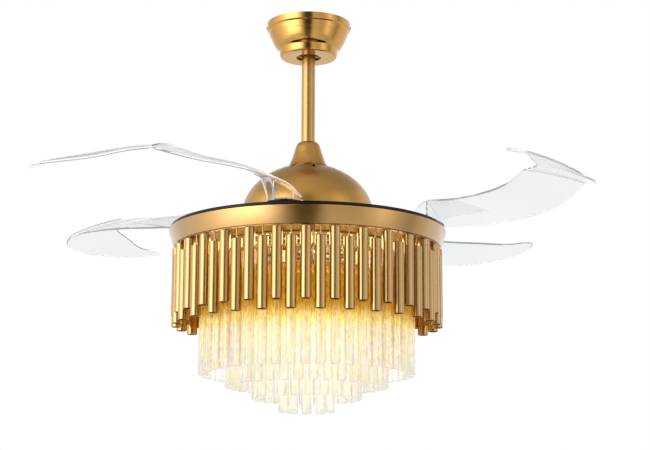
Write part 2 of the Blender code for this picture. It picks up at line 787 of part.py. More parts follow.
def motor_bearings():
    """Two bearings on the shaft, level with the rotor's end plates."""
    bore = clear_radius(SHAFT_RADIUS + FIT_GAP, BALL_SIDES)
    low = washer(bore, BEARING_RADIUS, SHELL_BOTTOM, SHELL_BOTTOM + BEARING_WIDTH, BALL_SIDES)
    high = washer(bore, BEARING_RADIUS, SHELL_TOP - BEARING_WIDTH, SHELL_TOP, BALL_SIDES)
    return low, high


def rotor_clear_radius():
    """The largest radius that fits inside the rotor's flat-sided shell."""
    return (ROTOR_RADIUS - ROTOR_WALL - FIT_GAP) * math.cos(math.pi / CANOPY_SIDES)


def rotor_magnets():
    outer = rotor_clear_radius()
    inner = clear_radius(outer - MAGNET_THICKNESS, CANOPY_SIDES)
    half = STATOR_HEIGHT / 2
    return washer(inner, outer, MOTOR_MIDDLE - half, MOTOR_MIDDLE + half, CANOPY_SIDES)


def stator_radius():
    return rotor_clear_radius() - MAGNET_THICKNESS - AIR_GAP


def winding_leg(gap):
    """The bundle of wire that passes down one slot of the core, grown by the gap."""
    outer = stator_radius() - WINDING_MARGIN
    middle = outer - WINDING_LEG_DEPTH / 2 - WINDING_MARGIN
    reach = (STATOR_HEIGHT + WINDING_HEIGHT) / 2
    depth = WINDING_LEG_DEPTH + 2 * gap
    width = WINDING_LEG_WIDTH + 2 * gap
    leg = block(depth, width, MOTOR_MIDDLE - reach, MOTOR_MIDDLE + reach)
    return around(leg, WINDING_LEG_COUNT, radius=middle)


def stator_core():
    bore = clear_radius(SHAFT_RADIUS + FIT_GAP, BALL_SIDES)
    half = STATOR_HEIGHT / 2
    core = washer(bore, stator_radius(), MOTOR_MIDDLE - half, MOTOR_MIDDLE + half, BALL_SIDES)
    return cut(core, winding_leg(FIT_GAP))


def stator_winding():
    """The coil heads above and below the core, joined by the wire in its slots."""
    outer = stator_radius() - WINDING_MARGIN
    near = STATOR_HEIGHT / 2 + FIT_GAP
    far = near + WINDING_HEIGHT
    high = washer(WINDING_INNER_RADIUS, outer, MOTOR_MIDDLE + near, MOTOR_MIDDLE + far, BALL_SIDES)
    low = washer(WINDING_INNER_RADIUS, outer, MOTOR_MIDDLE - far, MOTOR_MIDDLE - near, BALL_SIDES)
    return fused(high, winding_leg(0), low)


# Carrier disc and synchronising gears

def pivot_angle(index):
    return PIVOT_PHASE + FULL_TURN * index / BLADE_COUNT


def carrier_disc():
    disc = washer(DISC_HOLE_RADIUS, DISC_RADIUS, DISC_BOTTOM, DISC_TOP, BAND_SIDES)
    radius = clear_radius(PIVOT_SHAFT_RADIUS + FIT_GAP, PIVOT_SHAFT_SIDES)
    hole = rod(radius, DISC_BOTTOM - CUT_OVERRUN, DISC_TOP + CUT_OVERRUN, PIVOT_SHAFT_SIDES)
    holes = around(hole, BLADE_COUNT, radius=PIVOT_RADIUS, phase=PIVOT_PHASE)
    screws = around(screw_hole(DISC_BOTTOM, DISC_TOP), ROTOR_SCREW_COUNT, radius=ROTOR_SCREW_PLACE)
    return cut(fused(disc, ring_guides()), holes, screws)


def involute(angle):
    return math.tan(angle) - angle


def tooth(teeth):
    """Half of a gear tooth as (radius, half angle) points, one at its root and one at its tip."""
    pitch_radius = GEAR_MODULE * teeth / 2
    base_radius = pitch_radius * math.cos(PRESSURE_ANGLE)
    half = math.pi / (2 * teeth) - GEAR_BACKLASH / (4 * pitch_radius)
    points = []
    for radius in (
        pitch_radius - TOOTH_DEPTH_SHARE * GEAR_MODULE,
        pitch_radius + TOOTH_HEIGHT_SHARE * GEAR_MODULE,
    ):
        lean = math.acos(min(1.0, base_radius / radius))
        points.append((radius, half + involute(PRESSURE_ANGLE) - involute(lean)))
    return points


def toothed_outline(teeth, centres, rest_radius):
    """A gear's outline with teeth at the centre angles only and a plain arc of the rest radius between."""
    points = []
    flank = tooth(teeth)
    for centre in centres:
        sides = [(r, centre - a) for r, a in flank] + [(r, centre + a) for r, a in reversed(flank)]
        points += [(r * math.cos(a), r * math.sin(a)) for r, a in sides]
        following = centres[(centres.index(centre) + 1) % len(centres)]
        span = (following - centre) % FULL_TURN
        plain = int(span / (FULL_TURN / teeth) + 0.5) - 1
        steps = min(plain, int(span / PLAIN_ARC_STEP))
        for step in range(1, steps + 1):
            angle = centre + span * step / (steps + 1)
            points.append((rest_radius * math.cos(angle), rest_radius * math.sin(angle)))
    return points


def sync_ring():
    """The ring that turns all four pinions alike, toothed only where a pinion rolls."""
    step = FULL_TURN / RING_TEETH
    centres = [pivot_angle(index) + step * place
               for index in range(BLADE_COUNT) for place in range(2 - SECTOR_TEETH, 2)]
    root = GEAR_MODULE * (RING_TEETH / 2 - TOOTH_DEPTH_SHARE)
    ring = prism(toothed_outline(RING_TEETH, centres, root), GEAR_BOTTOM, GEAR_TOP)
    hole = rod(root - RING_BAND, GEAR_BOTTOM - CUT_OVERRUN, GEAR_TOP + CUT_OVERRUN, CANOPY_SIDES)
    return cut(ring, hole)


def ring_guides():
    """Flanged pegs under the disc that centre the synchronising ring and carry it."""
    root = GEAR_MODULE * (RING_TEETH / 2 - TOOTH_DEPTH_SHARE)
    place = (root - RING_BAND) * math.cos(math.pi / CANOPY_SIDES) - FIT_GAP - GUIDE_RADIUS
    low = GEAR_BOTTOM - FIT_GAP
    rim = GUIDE_RADIUS + GUIDE_RIM
    top = DISC_BOTTOM + DISC_THICKNESS / 2
    outline = (
        (0, low - GUIDE_RIM_THICKNESS),
        (rim, low - GUIDE_RIM_THICKNESS),
        (rim, low),
        (GUIDE_RADIUS, low),
        (GUIDE_RADIUS, top),
        (0, top),
    )
    phase = PIVOT_PHASE + math.pi / BLADE_COUNT
    return around(turned(outline, SCREW_SIDES), GUIDE_COUNT, radius=place, phase=phase)


def pinion():
    """One blade's toothed sector, in the blade's own frame, on a boss that the pivot shaft fills."""
    step = FULL_TURN / PINION_TEETH
    centres = [math.pi + step / 2 + step * place for place in range(-2, SECTOR_TEETH - 2)]
    root = GEAR_MODULE * (PINION_TEETH / 2 - TOOTH_DEPTH_SHARE)
    gear = prism(toothed_outline(PINION_TEETH, centres, root), GEAR_BOTTOM, GEAR_TOP)
    foot = GEAR_BOTTOM - PINION_BOSS_HEIGHT
    boss = rod(PINION_BOSS_RADIUS, foot, (GEAR_BOTTOM + GEAR_TOP) / 2, PIVOT_SHAFT_SIDES)
    radius = clear_radius(PIVOT_SHAFT_RADIUS + FIT_GAP, PIVOT_SHAFT_SIDES)
    bore = rod(radius, foot - CUT_OVERRUN, GEAR_TOP + CUT_OVERRUN, PIVOT_SHAFT_SIDES)
    return cut(fused(gear, boss), bore)


# Blades

def blade_hub():
    """The black cap that a blade is screwed to, with the pivot shaft under it."""
    low = DISC_TOP + FIT_GAP
    foot = GEAR_BOTTOM - PINION_BOSS_HEIGHT
    bore = clear_radius(CENTRE_SCREW_RADIUS + FIT_GAP, HUB_SIDES)
    thread_end = HUB_TOP - HUB_THICKNESS - CENTRE_SCREW_DEPTH - FIT_GAP
    outline = (
        (0, foot),
        (PIVOT_SHAFT_RADIUS, foot),
        (PIVOT_SHAFT_RADIUS, low),
        (HUB_RADIUS, low),
        (HUB_RADIUS, HUB_TOP - HUB_EDGE),
        (HUB_RADIUS - HUB_EDGE, HUB_TOP),
        (bore, HUB_TOP),
        (bore, thread_end),
        (0, thread_end),
    )
    return turned(outline, HUB_SIDES)


def centre_screw():
    """The screw on a blade's pivot that clamps its foot to the hub."""
    length = FOOT_THICKNESS + FIT_GAP + HUB_THICKNESS + CENTRE_SCREW_DEPTH
    one = screw(CENTRE_SCREW_HEAD_RADIUS, CENTRE_SCREW_HEAD_HEIGHT, CENTRE_SCREW_RADIUS, length)
    return placed(one, z=BLADE_LEVEL + FOOT_THICKNESS + FIT_GAP)


def smooth_line(points, count):
    """A curve through the points, read at equal steps of its parameter."""
    vectors = [Vector(point) for point in points]
    ends = [2 * vectors[0] - vectors[1]] + vectors + [2 * vectors[-1] - vectors[-2]]
    line = []
    for step in range(count):
        place = step * (len(points) - 1) / (count - 1)
        index = min(int(place), len(points) - 2)
        t = place - index
        a, b, c, d = ends[index:index + 4]
        slope = (c - a) * t
        bend = (2 * a - 5 * b + 4 * c - d) * t ** 2
        twist = (3 * b - a - 3 * c + d) * t ** 3
        line.append((2 * b + slope + bend + twist) / 2)
    return line


def blade_edges():
    """The outer and the inner edge of a blade as equal numbers of points, each edge bent at the crease."""
    size = (BLADE_REACH, BLADE_REACH, BLADE_RISE)
    edges = []
    for shares in (OUTER_EDGE_SHARES, INNER_EDGE_SHARES):
        points = [[share * length for share, length in zip(point, size)] for point in shares]
        root = smooth_line(points[:CREASE_POINT + 1], PANEL_STATIONS)
        tip = smooth_line(points[CREASE_POINT:], PANEL_STATIONS)
        edges.append(root + tip[1:])
    return edges


def sheet_point(first, second, share, depth_share):
    """A place in the sheet between two points of its edges, at a share of its thickness from below."""
    camber = BLADE_CAMBER_SHARE * (second - first).length
    lift = 4 * share * (1 - share) * camber + depth_share * BLADE_THICKNESS
    return first.lerp(second, share) + Vector((0, 0, lift))


def blade_sheet():
    """The swept clear sheet, bulging a little between its two edges."""
    outer, inner = blade_edges()

    def build(bm):
        layers = []
        for side in (0, 1):
            rows = []
            for first, second in zip(outer, inner):
                row = []
                for strip in range(BLADE_STRIPS + 1):
                    row.append(bm.verts.new(sheet_point(first, second, strip / BLADE_STRIPS, side)))
                rows.append(row)
            layers.append(rows)
        low, high = layers
        for station in range(BLADE_STATIONS - 1):
            for strip in range(BLADE_STRIPS):
                for rows in layers:
                    bm.faces.new((rows[station][strip], rows[station + 1][strip],
                                  rows[station + 1][strip + 1], rows[station][strip + 1]))
        rim = [(station, 0) for station in range(BLADE_STATIONS)]
        rim += [(BLADE_STATIONS - 1, strip) for strip in range(1, BLADE_STRIPS + 1)]
        rim += [(station, BLADE_STRIPS) for station in range(BLADE_STATIONS - 2, -1, -1)]
        rim += [(0, strip) for strip in range(BLADE_STRIPS - 1, 0, -1)]
        for (a, b), (c, d) in zip(rim, rim[1:] + rim[:1]):
            bm.faces.new((low[a][b], low[c][d], high[c][d], high[a][b]))

    return mesh_from(build)


def blade_rib(first, second, top_first, top_second):
    """An upright web between two floor points, as high at each as its top says."""
    low = FOOT_THICKNESS / 2
    along = (Vector(second) - Vector(first)).normalized()
    across = Vector((-along.y, along.x)) * RIB_THICKNESS / 2

    def build(bm):
        corners = []
        for point, top in ((first, top_first), (second, top_second)):
            for sign in (-1, 1):
                x, y = Vector(point) + across * sign
                corners.append((bm.verts.new((x, y, low)), bm.verts.new((x, y, top))))
        (a, a_top), (b, b_top), (c, c_top), (d, d_top) = corners
        for face in ((a, b, d, c), (a_top, c_top, d_top, b_top), (a, c, c_top, a_top),
                     (b, b_top, d_top, d), (a, a_top, b_top, b), (c, d, d_top, c_top)):
            bm.faces.new(face)

    return mesh_from(build)


def along(line, share):
    """The place at a share of the way along a line of points."""
    place = share * (len(line) - 1)
    index = int(place)
    return line[index].lerp(line[index + 1], place - index)


def hood_lines():
    """The hood's lines from the foot's rim up into the sheet, from the sheet's inner corner outward."""
    outer, inner = blade_edges()
    lines = []
    for column in range(HOOD_COLUMNS):
        turn = column / (HOOD_COLUMNS - 1)
        angle = HOOD_START + (HOOD_END - HOOD_START) * turn
        rim = FOOT_RADIUS - HOOD_WALL / 2
        foot = Vector((rim * math.cos(angle), rim * math.sin(angle), FOOT_THICKNESS / 2))
        first = along(outer, HOOD_REACH_SHARE * turn)
        second = along(inner, HOOD_REACH_SHARE * turn)
        top = sheet_point(first, second, HOOD_CORNER_SHARE - HOOD_SPREAD_SHARE * turn, 1 / 2)
        bend = foot.lerp(top, HOOD_FLARE_SHARE)
        bend.z = top.z * HOOD_RISE_SHARE
        line = []
        for row in range(HOOD_ROWS):
            rise = row / (HOOD_ROWS - 1)
            line.append((1 - rise) ** 2 * foot + 2 * rise * (1 - rise) * bend + rise ** 2 * top)
        lines.append(line)
    return lines


def slope(places, index):
    """The direction in which a line of places runs at one of them."""
    return places[min(index + 1, len(places) - 1)] - places[max(index - 1, 0)]


def blade_hood():
    """The wall that rises from the foot's rim and leans over into the sheet."""
    lines = hood_lines()
    rows = list(zip(*lines))

    def layer(bm, offset):
        made = []
        for column, line in enumerate(lines):
            normals = [slope(rows[row], column).cross(slope(line, row)).normalized()
                       for row in range(HOOD_ROWS)]
            made.append([bm.verts.new(point + normal * offset) for point, normal in zip(line, normals)])
        return made

    def build(bm):
        outside, inside = layer(bm, HOOD_WALL / 2), layer(bm, -HOOD_WALL / 2)
        for side in (outside, inside):
            for here, there in zip(side, side[1:]):
                for row in range(HOOD_ROWS - 1):
                    bm.faces.new((here[row], there[row], there[row + 1], here[row + 1]))
        rim = [(column, 0) for column in range(HOOD_COLUMNS)]
        rim += [(HOOD_COLUMNS - 1, row) for row in range(1, HOOD_ROWS)]
        rim += [(column, HOOD_ROWS - 1) for column in range(HOOD_COLUMNS - 2, -1, -1)]
        rim += [(0, row) for row in range(HOOD_ROWS - 2, 0, -1)]
        for (a, b), (c, d) in zip(rim, rim[1:] + rim[:1]):
            bm.faces.new((outside[a][b], outside[c][d], inside[c][d], inside[a][b]))

    return mesh_from(build)


def blade():
    """One blade in its own frame: the sheet, the round foot, and the hood and web that join them."""
    outer, inner = blade_edges()
    foot = rod(FOOT_RADIUS, 0, FOOT_THICKNESS, HUB_SIDES)
    low_end = sheet_point(outer[0], inner[0], RIB_START_SHARE, 1 / 2)
    high_end = sheet_point(outer[0], inner[0], RIB_END_SHARE, 1 / 2)
    web = blade_rib(low_end.xy, high_end.xy, low_end.z, high_end.z)
    bore = clear_radius(CENTRE_SCREW_RADIUS + FIT_GAP, SCREW_SIDES)
    hole = rod(bore, -CUT_OVERRUN, FOOT_THICKNESS + CUT_OVERRUN, SCREW_SIDES)
    return fused(blade_sheet(), cut(foot, hole), web, blade_hood())


# Lamp body

def band_inner_radius(level):
    """The trim band's clear inner radius at a level."""
    share = (BAND_TOP - level) / BAND_HEIGHT
    radius = BAND_TOP_RADIUS - BAND_TAPER * share - BAND_WALL
    return radius * math.cos(math.pi / BAND_SIDES)


def trim_band():
    """The tapered ring round the lamp, with a lip inside its foot."""
    slope = BAND_TAPER / BAND_HEIGHT
    lip_top = BAND_BOTTOM + BAND_WALL
    outline = (
        (BAND_BOTTOM_RADIUS - BAND_WALL - BAND_LIP, BAND_BOTTOM),
        (BAND_BOTTOM_RADIUS, BAND_BOTTOM),
        (BAND_TOP_RADIUS, BAND_TOP),
        (BAND_TOP_RADIUS - BAND_WALL, BAND_TOP),
        (BAND_BOTTOM_RADIUS - BAND_WALL + slope * BAND_WALL, lip_top),
        (BAND_BOTTOM_RADIUS - BAND_WALL - BAND_LIP, lip_top),
    )
    return cut(turned(outline, BAND_SIDES), plate_screw_holes())


def plate_screw_place():
    return BAND_BOTTOM_RADIUS - BAND_WALL - BAND_LIP * 2 / 3


def plate_screw_holes():
    hole = screw_hole(BAND_BOTTOM, PLATE_TOP)
    return around(hole, PLATE_SCREW_COUNT, radius=plate_screw_place(), phase=math.pi / PLATE_SCREW_COUNT)


def lamp_plate():
    """The disc that rests on the band's lip and hangs from the shaft."""
    bore = clear_radius(SHAFT_RADIUS + FIT_GAP, BAND_SIDES)
    outer = band_inner_radius(PLATE_BOTTOM) - FIT_GAP
    return cut(washer(bore, outer, PLATE_BOTTOM, PLATE_TOP, BAND_SIDES), plate_screw_holes())


def plate_screws():
    one = placed(small_screw(PLATE_THICKNESS + BAND_WALL), z=PLATE_TOP + FIT_GAP)
    phase = math.pi / PLATE_SCREW_COUNT
    return copies_around(one, PLATE_SCREW_COUNT, radius=plate_screw_place(), phase=phase)


def lamp_nuts():
    """Hexagon nuts that clamp the lamp plate on the shaft."""
    bore = clear_radius(SHAFT_RADIUS + FIT_GAP, SHAFT_SIDES)
    nuts = []
    for low in (PLATE_TOP + FIT_GAP, PLATE_BOTTOM - FIT_GAP - LAMP_NUT_THICKNESS):
        high = low + LAMP_NUT_THICKNESS
        hexagon = rod(LAMP_NUT_RADIUS, low, high, NUT_SIDES)
        nuts.append(cut(hexagon, rod(bore, low - CUT_OVERRUN, high + CUT_OVERRUN, SHAFT_SIDES)))
    return nuts


def led_drivers():
    """Two power supplies on the lamp plate, one each side of the shaft."""
    low = PLATE_TOP + FIT_GAP
    one = block(DRIVER_WIDTH, DRIVER_LENGTH, low, low + DRIVER_HEIGHT)
    return copies_around(one, 2, radius=BAND_TOP_RADIUS * DRIVER_PLACE_SHARE)


def tier_radius(tier):
    return OUTER_TIER_RADIUS - TIER_STEP * tier


def tier_ring_bottom(tier):
    return BAND_BOTTOM - OUTER_TIER_HANG - TIER_DROP * tier


def led_board():
    """The lamp board under the plate: three rings between the tiers of crystal, on four arms."""
    high = PLATE_BOTTOM - FIT_GAP
    low = high - BOARD_THICKNESS
    half = BOARD_WIDTH / 2
    middles = [tier_radius(tier) - TIER_STEP / 2 for tier in range(TIER_COUNT - 1)]
    rings = [washer(middle - half, middle + half, low, high, BALL_SIDES) for middle in middles]
    skin = BOARD_THICKNESS * BOARD_ARM_SKIN_SHARE
    arm = block(middles[0] - middles[-1], BOARD_ARM_WIDTH, low + skin, high - skin)
    reach = (middles[0] + middles[-1]) / 2
    arms = around(arm, STANDOFF_COUNT, radius=reach, phase=math.pi / STANDOFF_COUNT)
    return fused(rings[0], arms, *rings[1:])


def crystal_tier(tier):
    """A tier of glass rods on its flat ring, which threaded rods hang from the lamp plate."""
    ring_low = tier_ring_bottom(tier)
    ring_high = ring_low + TIER_RING_THICKNESS
    ring_middle = (ring_low + ring_high) / 2
    middle = tier_radius(tier)
    count = int(FULL_TURN * middle / CRYSTAL_PITCH)
    half_step = math.pi / count
    edge = TIER_RING_WIDTH / 2 / math.cos(half_step)
    start = math.pi / 2 + half_step
    ring = washer(middle - edge, middle + edge, ring_low, ring_high, count, start)
    glass = rod(CRYSTAL_RADIUS, ring_low - CRYSTAL_LENGTH, ring_middle, CRYSTAL_SIDES)
    standoff = rod(STANDOFF_RADIUS, ring_middle, PLATE_BOTTOM - FIT_GAP, SCREW_SIDES)
    glasses = around(glass, count, radius=middle, phase=math.pi / 2)
    standoffs = around(standoff, STANDOFF_COUNT, radius=middle, phase=STANDOFF_PHASE)
    return fused(ring, glasses, standoffs)


def tube_pairs():
    return int(math.pi * TUBE_PLACE / TUBE_PITCH)


def tube(top):
    """One gold tube, closed above and open below."""
    bottom = top - TUBE_LENGTH
    inner = TUBE_RADIUS - TUBE_WALL
    cap = top - TUBE_WALL
    outline = ((0, top), (0, cap), (inner, cap), (inner, bottom), (TUBE_RADIUS, bottom), (TUBE_RADIUS, top))
    return turned(outline, TUBE_SIDES)


def tube_skirt():
    """High and low tubes by turns, hung by pins from one flat ring under the band's lip."""
    ring_high = BAND_BOTTOM - FIT_GAP
    ring_low = ring_high - HOOK_RING_THICKNESS
    pairs = tube_pairs()
    half_step = math.pi / (2 * pairs)
    half = HOOK_RING_WIDTH / 2
    ring = washer(TUBE_PLACE - half, TUBE_PLACE + half, ring_low, ring_high, 2 * pairs, half_step)
    tubes = []
    pins = []
    for drop, phase in ((0, 0), (TUBE_STAGGER, 2 * half_step)):
        top = ring_low - TUBE_HANG - drop
        pin = rod(HOOK_RADIUS, top - TUBE_WALL / 2, (ring_low + ring_high) / 2, HOOK_SIDES)
        pin = placed(pin, turn=math.pi / (2 * HOOK_SIDES))
        tubes += copies_around(tube(top), pairs, radius=TUBE_PLACE, phase=phase - math.pi / 2)
        pins += copies_around(pin, pairs, radius=TUBE_PLACE, phase=phase - math.pi / 2)
    return fused(ring, gathered(pins), gathered(tubes))


# The whole fan

def clear_scene():
    for item in list(bpy.data.objects):
        bpy.data.objects.remove(item, do_unlink=True)


def build():
    gold = material("brushed gold", (0.70, 0.47, 0.19), 0.32, metallic=1.0)
    polished = material("polished gold", (0.78, 0.55, 0.25), 0.18, metallic=1.0)
    anodised = material("anodised gold", (0.70, 0.47, 0.19), 0.28, metallic=1.0)
    steel = material("zinc plated steel", (0.62, 0.62, 0.60), 0.38, metallic=1.0)
    black = material("black lacquer", (0.012, 0.012, 0.013), 0.25)
    rubber = material("white rubber", (0.72, 0.71, 0.68), 0.7)
    clear = material("clear plastic", (0.95, 0.96, 0.97), 0.06, transmission=0.95)
    crystal = material("crystal glass", (0.98, 0.97, 0.95), 0.03, transmission=1.0)
    copper = material("enamelled copper", (0.60, 0.25, 0.10), 0.45, metallic=0.8)
    iron = material("laminated iron", (0.30, 0.30, 0.31), 0.5, metallic=0.9)
    magnet = material("ferrite", (0.06, 0.06, 0.065), 0.55)
    nylon = material("white nylon", (0.82, 0.82, 0.79), 0.45)
    board = material("lamp board", (0.90, 0.88, 0.80), 0.5, glow=1.0)

    def add_each(name, meshes, finish, parent=None):
        for index, mesh in enumerate(meshes):
            add(f"{name}_{index + 1}", mesh, finish, parent)

    add("hanger_bracket", hanger_bracket(), steel)
    add("canopy", canopy(), polished)
    add_each("canopy_screw", canopy_screws(), polished)
    add("receiver_box", receiver_box(), nylon)
    add("terminal_block", terminal_block(), nylon)

    liner_axis = pivot("ball_middle_x", 0, 0, BALL_LEVEL)
    fan_axis = pivot("ball_middle_y", 0, 0, BALL_LEVEL, liner_axis)
    add("ball_liner", ball_liner(), rubber, liner_axis)
    for name, mesh, finish in (
        ("hanger_ball", hanger_ball(), rubber),
        ("ball_pin", ball_pin(), steel),
        ("downrod", downrod(), gold),
        ("yoke", yoke(), steel),
        ("yoke_bolt", yoke_bolt(), steel),
        ("coupling_cover", coupling_cover(), gold),
        ("motor_dome", dome(), gold),
        ("motor_shaft", motor_shaft(), steel),
        ("stator_core", stator_core(), iron),
        ("stator_winding", stator_winding(), copper),
        ("trim_band", trim_band(), gold),
        ("lamp_plate", lamp_plate(), anodised),
        ("led_board", led_board(), board),
        ("tube_skirt", tube_skirt(), anodised),
    ):
        add(name, mesh, finish, fan_axis)
    add_each("dome_screw", dome_screws(), steel, fan_axis)
    add_each("motor_bearing", motor_bearings(), steel, fan_axis)
    add_each("plate_screw", plate_screws(), steel, fan_axis)
    add_each("lamp_nut", lamp_nuts(), steel, fan_axis)
    add_each("led_driver", led_drivers(), nylon, fan_axis)
    add_each("crystal_tier", [crystal_tier(tier) for tier in range(TIER_COUNT)], crystal, fan_axis)

    rotor_axis = pivot("rotor_axis", 0, 0, DISC_BOTTOM, fan_axis)
    for name, mesh, finish in (
        ("rotor_lower_shell", rotor_lower_shell(), steel),
        ("rotor_upper_shell", rotor_upper_shell(), steel),
        ("rotor_magnets", rotor_magnets(), magnet),
        ("carrier_disc", carrier_disc(), black),
    ):
        add(name, mesh, finish, rotor_axis)
    add_each("rotor_screw", rotor_screws(), steel, rotor_axis)
    ring_axis = pivot("sync_ring_axis", 0, 0, GEAR_BOTTOM, rotor_axis)
    add("sync_ring", sync_ring(), nylon, ring_axis)

    shapes = {
        "blade": (placed(blade(), z=BLADE_LEVEL), clear),
        "blade_hub": (blade_hub(), black),
        "blade_pinion": (pinion(), nylon),
        "blade_screw": (centre_screw(), steel),
    }
    for index in range(BLADE_COUNT):
        angle = pivot_angle(index)
        x = PIVOT_RADIUS * math.cos(angle)
        y = PIVOT_RADIUS * math.sin(angle)
        axis = pivot(f"blade_axis_{index + 1}", x, y, DISC_TOP, rotor_axis)
        for kind, (mesh, finish) in shapes.items():
            add(f"{kind}_{index + 1}", placed(mesh, x=x, y=y, turn=angle), finish, axis)


clear_scene()
build()
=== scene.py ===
"""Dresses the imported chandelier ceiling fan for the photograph's view.

Lengths are in metres, in the part's frame: the origin is the ceiling plane on the fan's axis and +Z is up.
"""

import json
import math

import bmesh
import bpy
from mathutils import Matrix, Vector


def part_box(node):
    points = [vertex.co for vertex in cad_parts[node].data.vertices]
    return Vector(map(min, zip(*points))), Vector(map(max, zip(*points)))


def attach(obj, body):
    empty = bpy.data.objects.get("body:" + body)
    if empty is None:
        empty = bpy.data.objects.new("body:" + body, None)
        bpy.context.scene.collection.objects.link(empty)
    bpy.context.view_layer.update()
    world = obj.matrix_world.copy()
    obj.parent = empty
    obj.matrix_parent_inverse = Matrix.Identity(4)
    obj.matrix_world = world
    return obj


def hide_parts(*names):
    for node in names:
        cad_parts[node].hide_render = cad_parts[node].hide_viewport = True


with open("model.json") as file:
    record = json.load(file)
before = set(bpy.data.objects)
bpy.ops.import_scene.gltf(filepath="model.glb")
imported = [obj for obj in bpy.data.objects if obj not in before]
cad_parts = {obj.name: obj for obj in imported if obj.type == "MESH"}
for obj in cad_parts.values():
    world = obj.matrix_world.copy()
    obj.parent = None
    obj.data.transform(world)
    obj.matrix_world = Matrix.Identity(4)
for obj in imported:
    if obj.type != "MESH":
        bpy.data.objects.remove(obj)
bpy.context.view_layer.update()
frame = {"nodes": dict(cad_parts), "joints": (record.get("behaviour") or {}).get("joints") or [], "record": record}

# The photograph's camera: 36 mm across the frame's 650 pixels
FRAME_WIDTH = 650
FOCAL_PIXELS = 1617
SENSOR_WIDTH = 36
CAMERA_PLACE = (0.0315, -2.864, -0.972)
CAMERA_PITCH = math.radians(11.7)
CAMERA_ROLL = math.radians(0.2)
CAMERA_NEAR = 0.05
CAMERA_FAR = 60

# Smoothness of round pieces
BAND_SIDES = 192
DOME_SIDES = 160
FINE_SIDES = 128
RING_SIDES = 96
HUB_SIDES = 72
ROD_SIDES = 64
BALL_SIDES = 48
SMALL_SIDES = 24
PIN_SIDES = 12
NUT_SIDES = 6
BEAD_SIDES = 10
BALL_STEPS = 24
LINER_STEPS = 10
SCREW_HEAD_STEPS = 6
SLOT_END_STEPS = 8
RIB_STEPS = 8
STEPS_IN_FLUTE = 4
FILLET_STEPS = 4
FILLET_REACH_SHARE = 0.45
FULL_TURN = 2 * math.pi
SHARP_ANGLE = math.radians(35)
BLADE_SHARP_ANGLE = math.radians(40)
CRYSTAL_SHARP_ANGLE = math.radians(60)
TINY = 1e-7

# Gaps and rounded edges
GAP = 0.0003
SINK = 0.0002
SHARP_ROUNDING = 0.0004
EDGE_ROUNDING = 0.0009

# Canopy outline as shares of its radius and height, from the ceiling down
CANOPY_OUTLINE_SHARES = (
    (1.0, 0.0), (1.0, 0.155), (0.985, 0.185), (0.952, 0.20), (0.947, 0.27), (0.932, 0.335), (0.905, 0.40),
    (0.875, 0.49), (0.838, 0.58), (0.796, 0.665), (0.750, 0.73), (0.700, 0.775), (0.692, 0.80),
    (0.688, 0.93), (0.665, 0.985), (0.640, 1.0),
)
CANOPY_WALL = 0.0014
CANOPY_ROUNDING = 0.0012
CANOPY_HOLE_RADIUS = 0.0225
CANOPY_SCREW_HEAD_RADIUS = 0.0028
CANOPY_SCREW_HEAD = 0.0012
CANOPY_SCREW_RADIUS = 0.0015

# Ball joint
BALL_RADIUS = 0.022
BALL_FLAT = 0.012
LINER_THICKNESS = 0.003
LINER_LOW_ANGLE = math.radians(48)
LINER_HIGH_ANGLE = math.radians(74)

# Downrod
ROD_WALL = 0.0018
ROD_ROUNDING = 0.0006
PIN_HOLE_RADIUS = 0.0033
PIN_HOLE_REACH = 0.02

# Cover over the yoke
CONE_OUTLINE_SHARES = (
    (1.0, 0.0), (0.94, 0.07), (0.88, 0.16), (0.815, 0.28), (0.76, 0.40), (0.705, 0.53), (0.655, 0.67),
    (0.612, 0.79), (0.565, 0.87), (0.51, 0.93), (0.47, 0.96), (0.38, 1.0),
)
CONE_WALL = 0.0012
CONE_ROUNDING = 0.0015

# Dome
DOME_CENTRE_LIFT = 0.0306
DOME_RISE = 0.0954
DOME_CROWN_RADIUS = 0.034
DOME_WALL = 0.0013
DOME_HOLE_RADIUS = 0.0170
DOME_RINGS = 28
CROWN_BEAD_RADIUS = 0.0006
VENT_COUNT = 10
VENT_LENGTH = 0.030
VENT_WIDTH = 0.006
VENT_START = 0.040
VENT_PHASE = math.radians(10)
VENT_CUT_BELOW = 0.03
VENT_CUT_ABOVE = 0.01

# Carrier disc and hubs
DISC_THICKNESS = 0.0055
DISC_HOLE_RADIUS = 0.060
DISC_EDGE = 0.0012
PEG_INSET = 0.0265
PEG_HEAD_RADIUS = 0.008
PEG_HEAD_HEIGHT = 0.0015
PEG_RADIUS = 0.005
PEG_SINK = 0.001
HUB_RADIUS = 0.0335
HUB_THICKNESS = 0.003
PIVOT_SHAFT_RADIUS = 0.005
SCREW_BORE = 0.0026
SCREW_BORE_DEPTH = 0.0075
PIVOT_SCREW_HEAD_RADIUS = 0.0065
PIVOT_SCREW_HEAD = 0.0028
PIVOT_SCREW_RADIUS = 0.0022
PIVOT_SCREW_LENGTH = 0.0113
PIVOT_SCREW_TURN = 0.4
SCREW_POINT_SHARE = 0.6
SCREW_HEAD_SIDE_SHARE = 0.35
CROSS_REACH_SHARE = 0.55
CROSS_WIDTH_SHARE = 0.14
CROSS_DEPTH_SHARE = 0.55
CROSS_TOP_SHARE = 1.2
BLADE_NUMBERS = (1, 2, 3, 4)

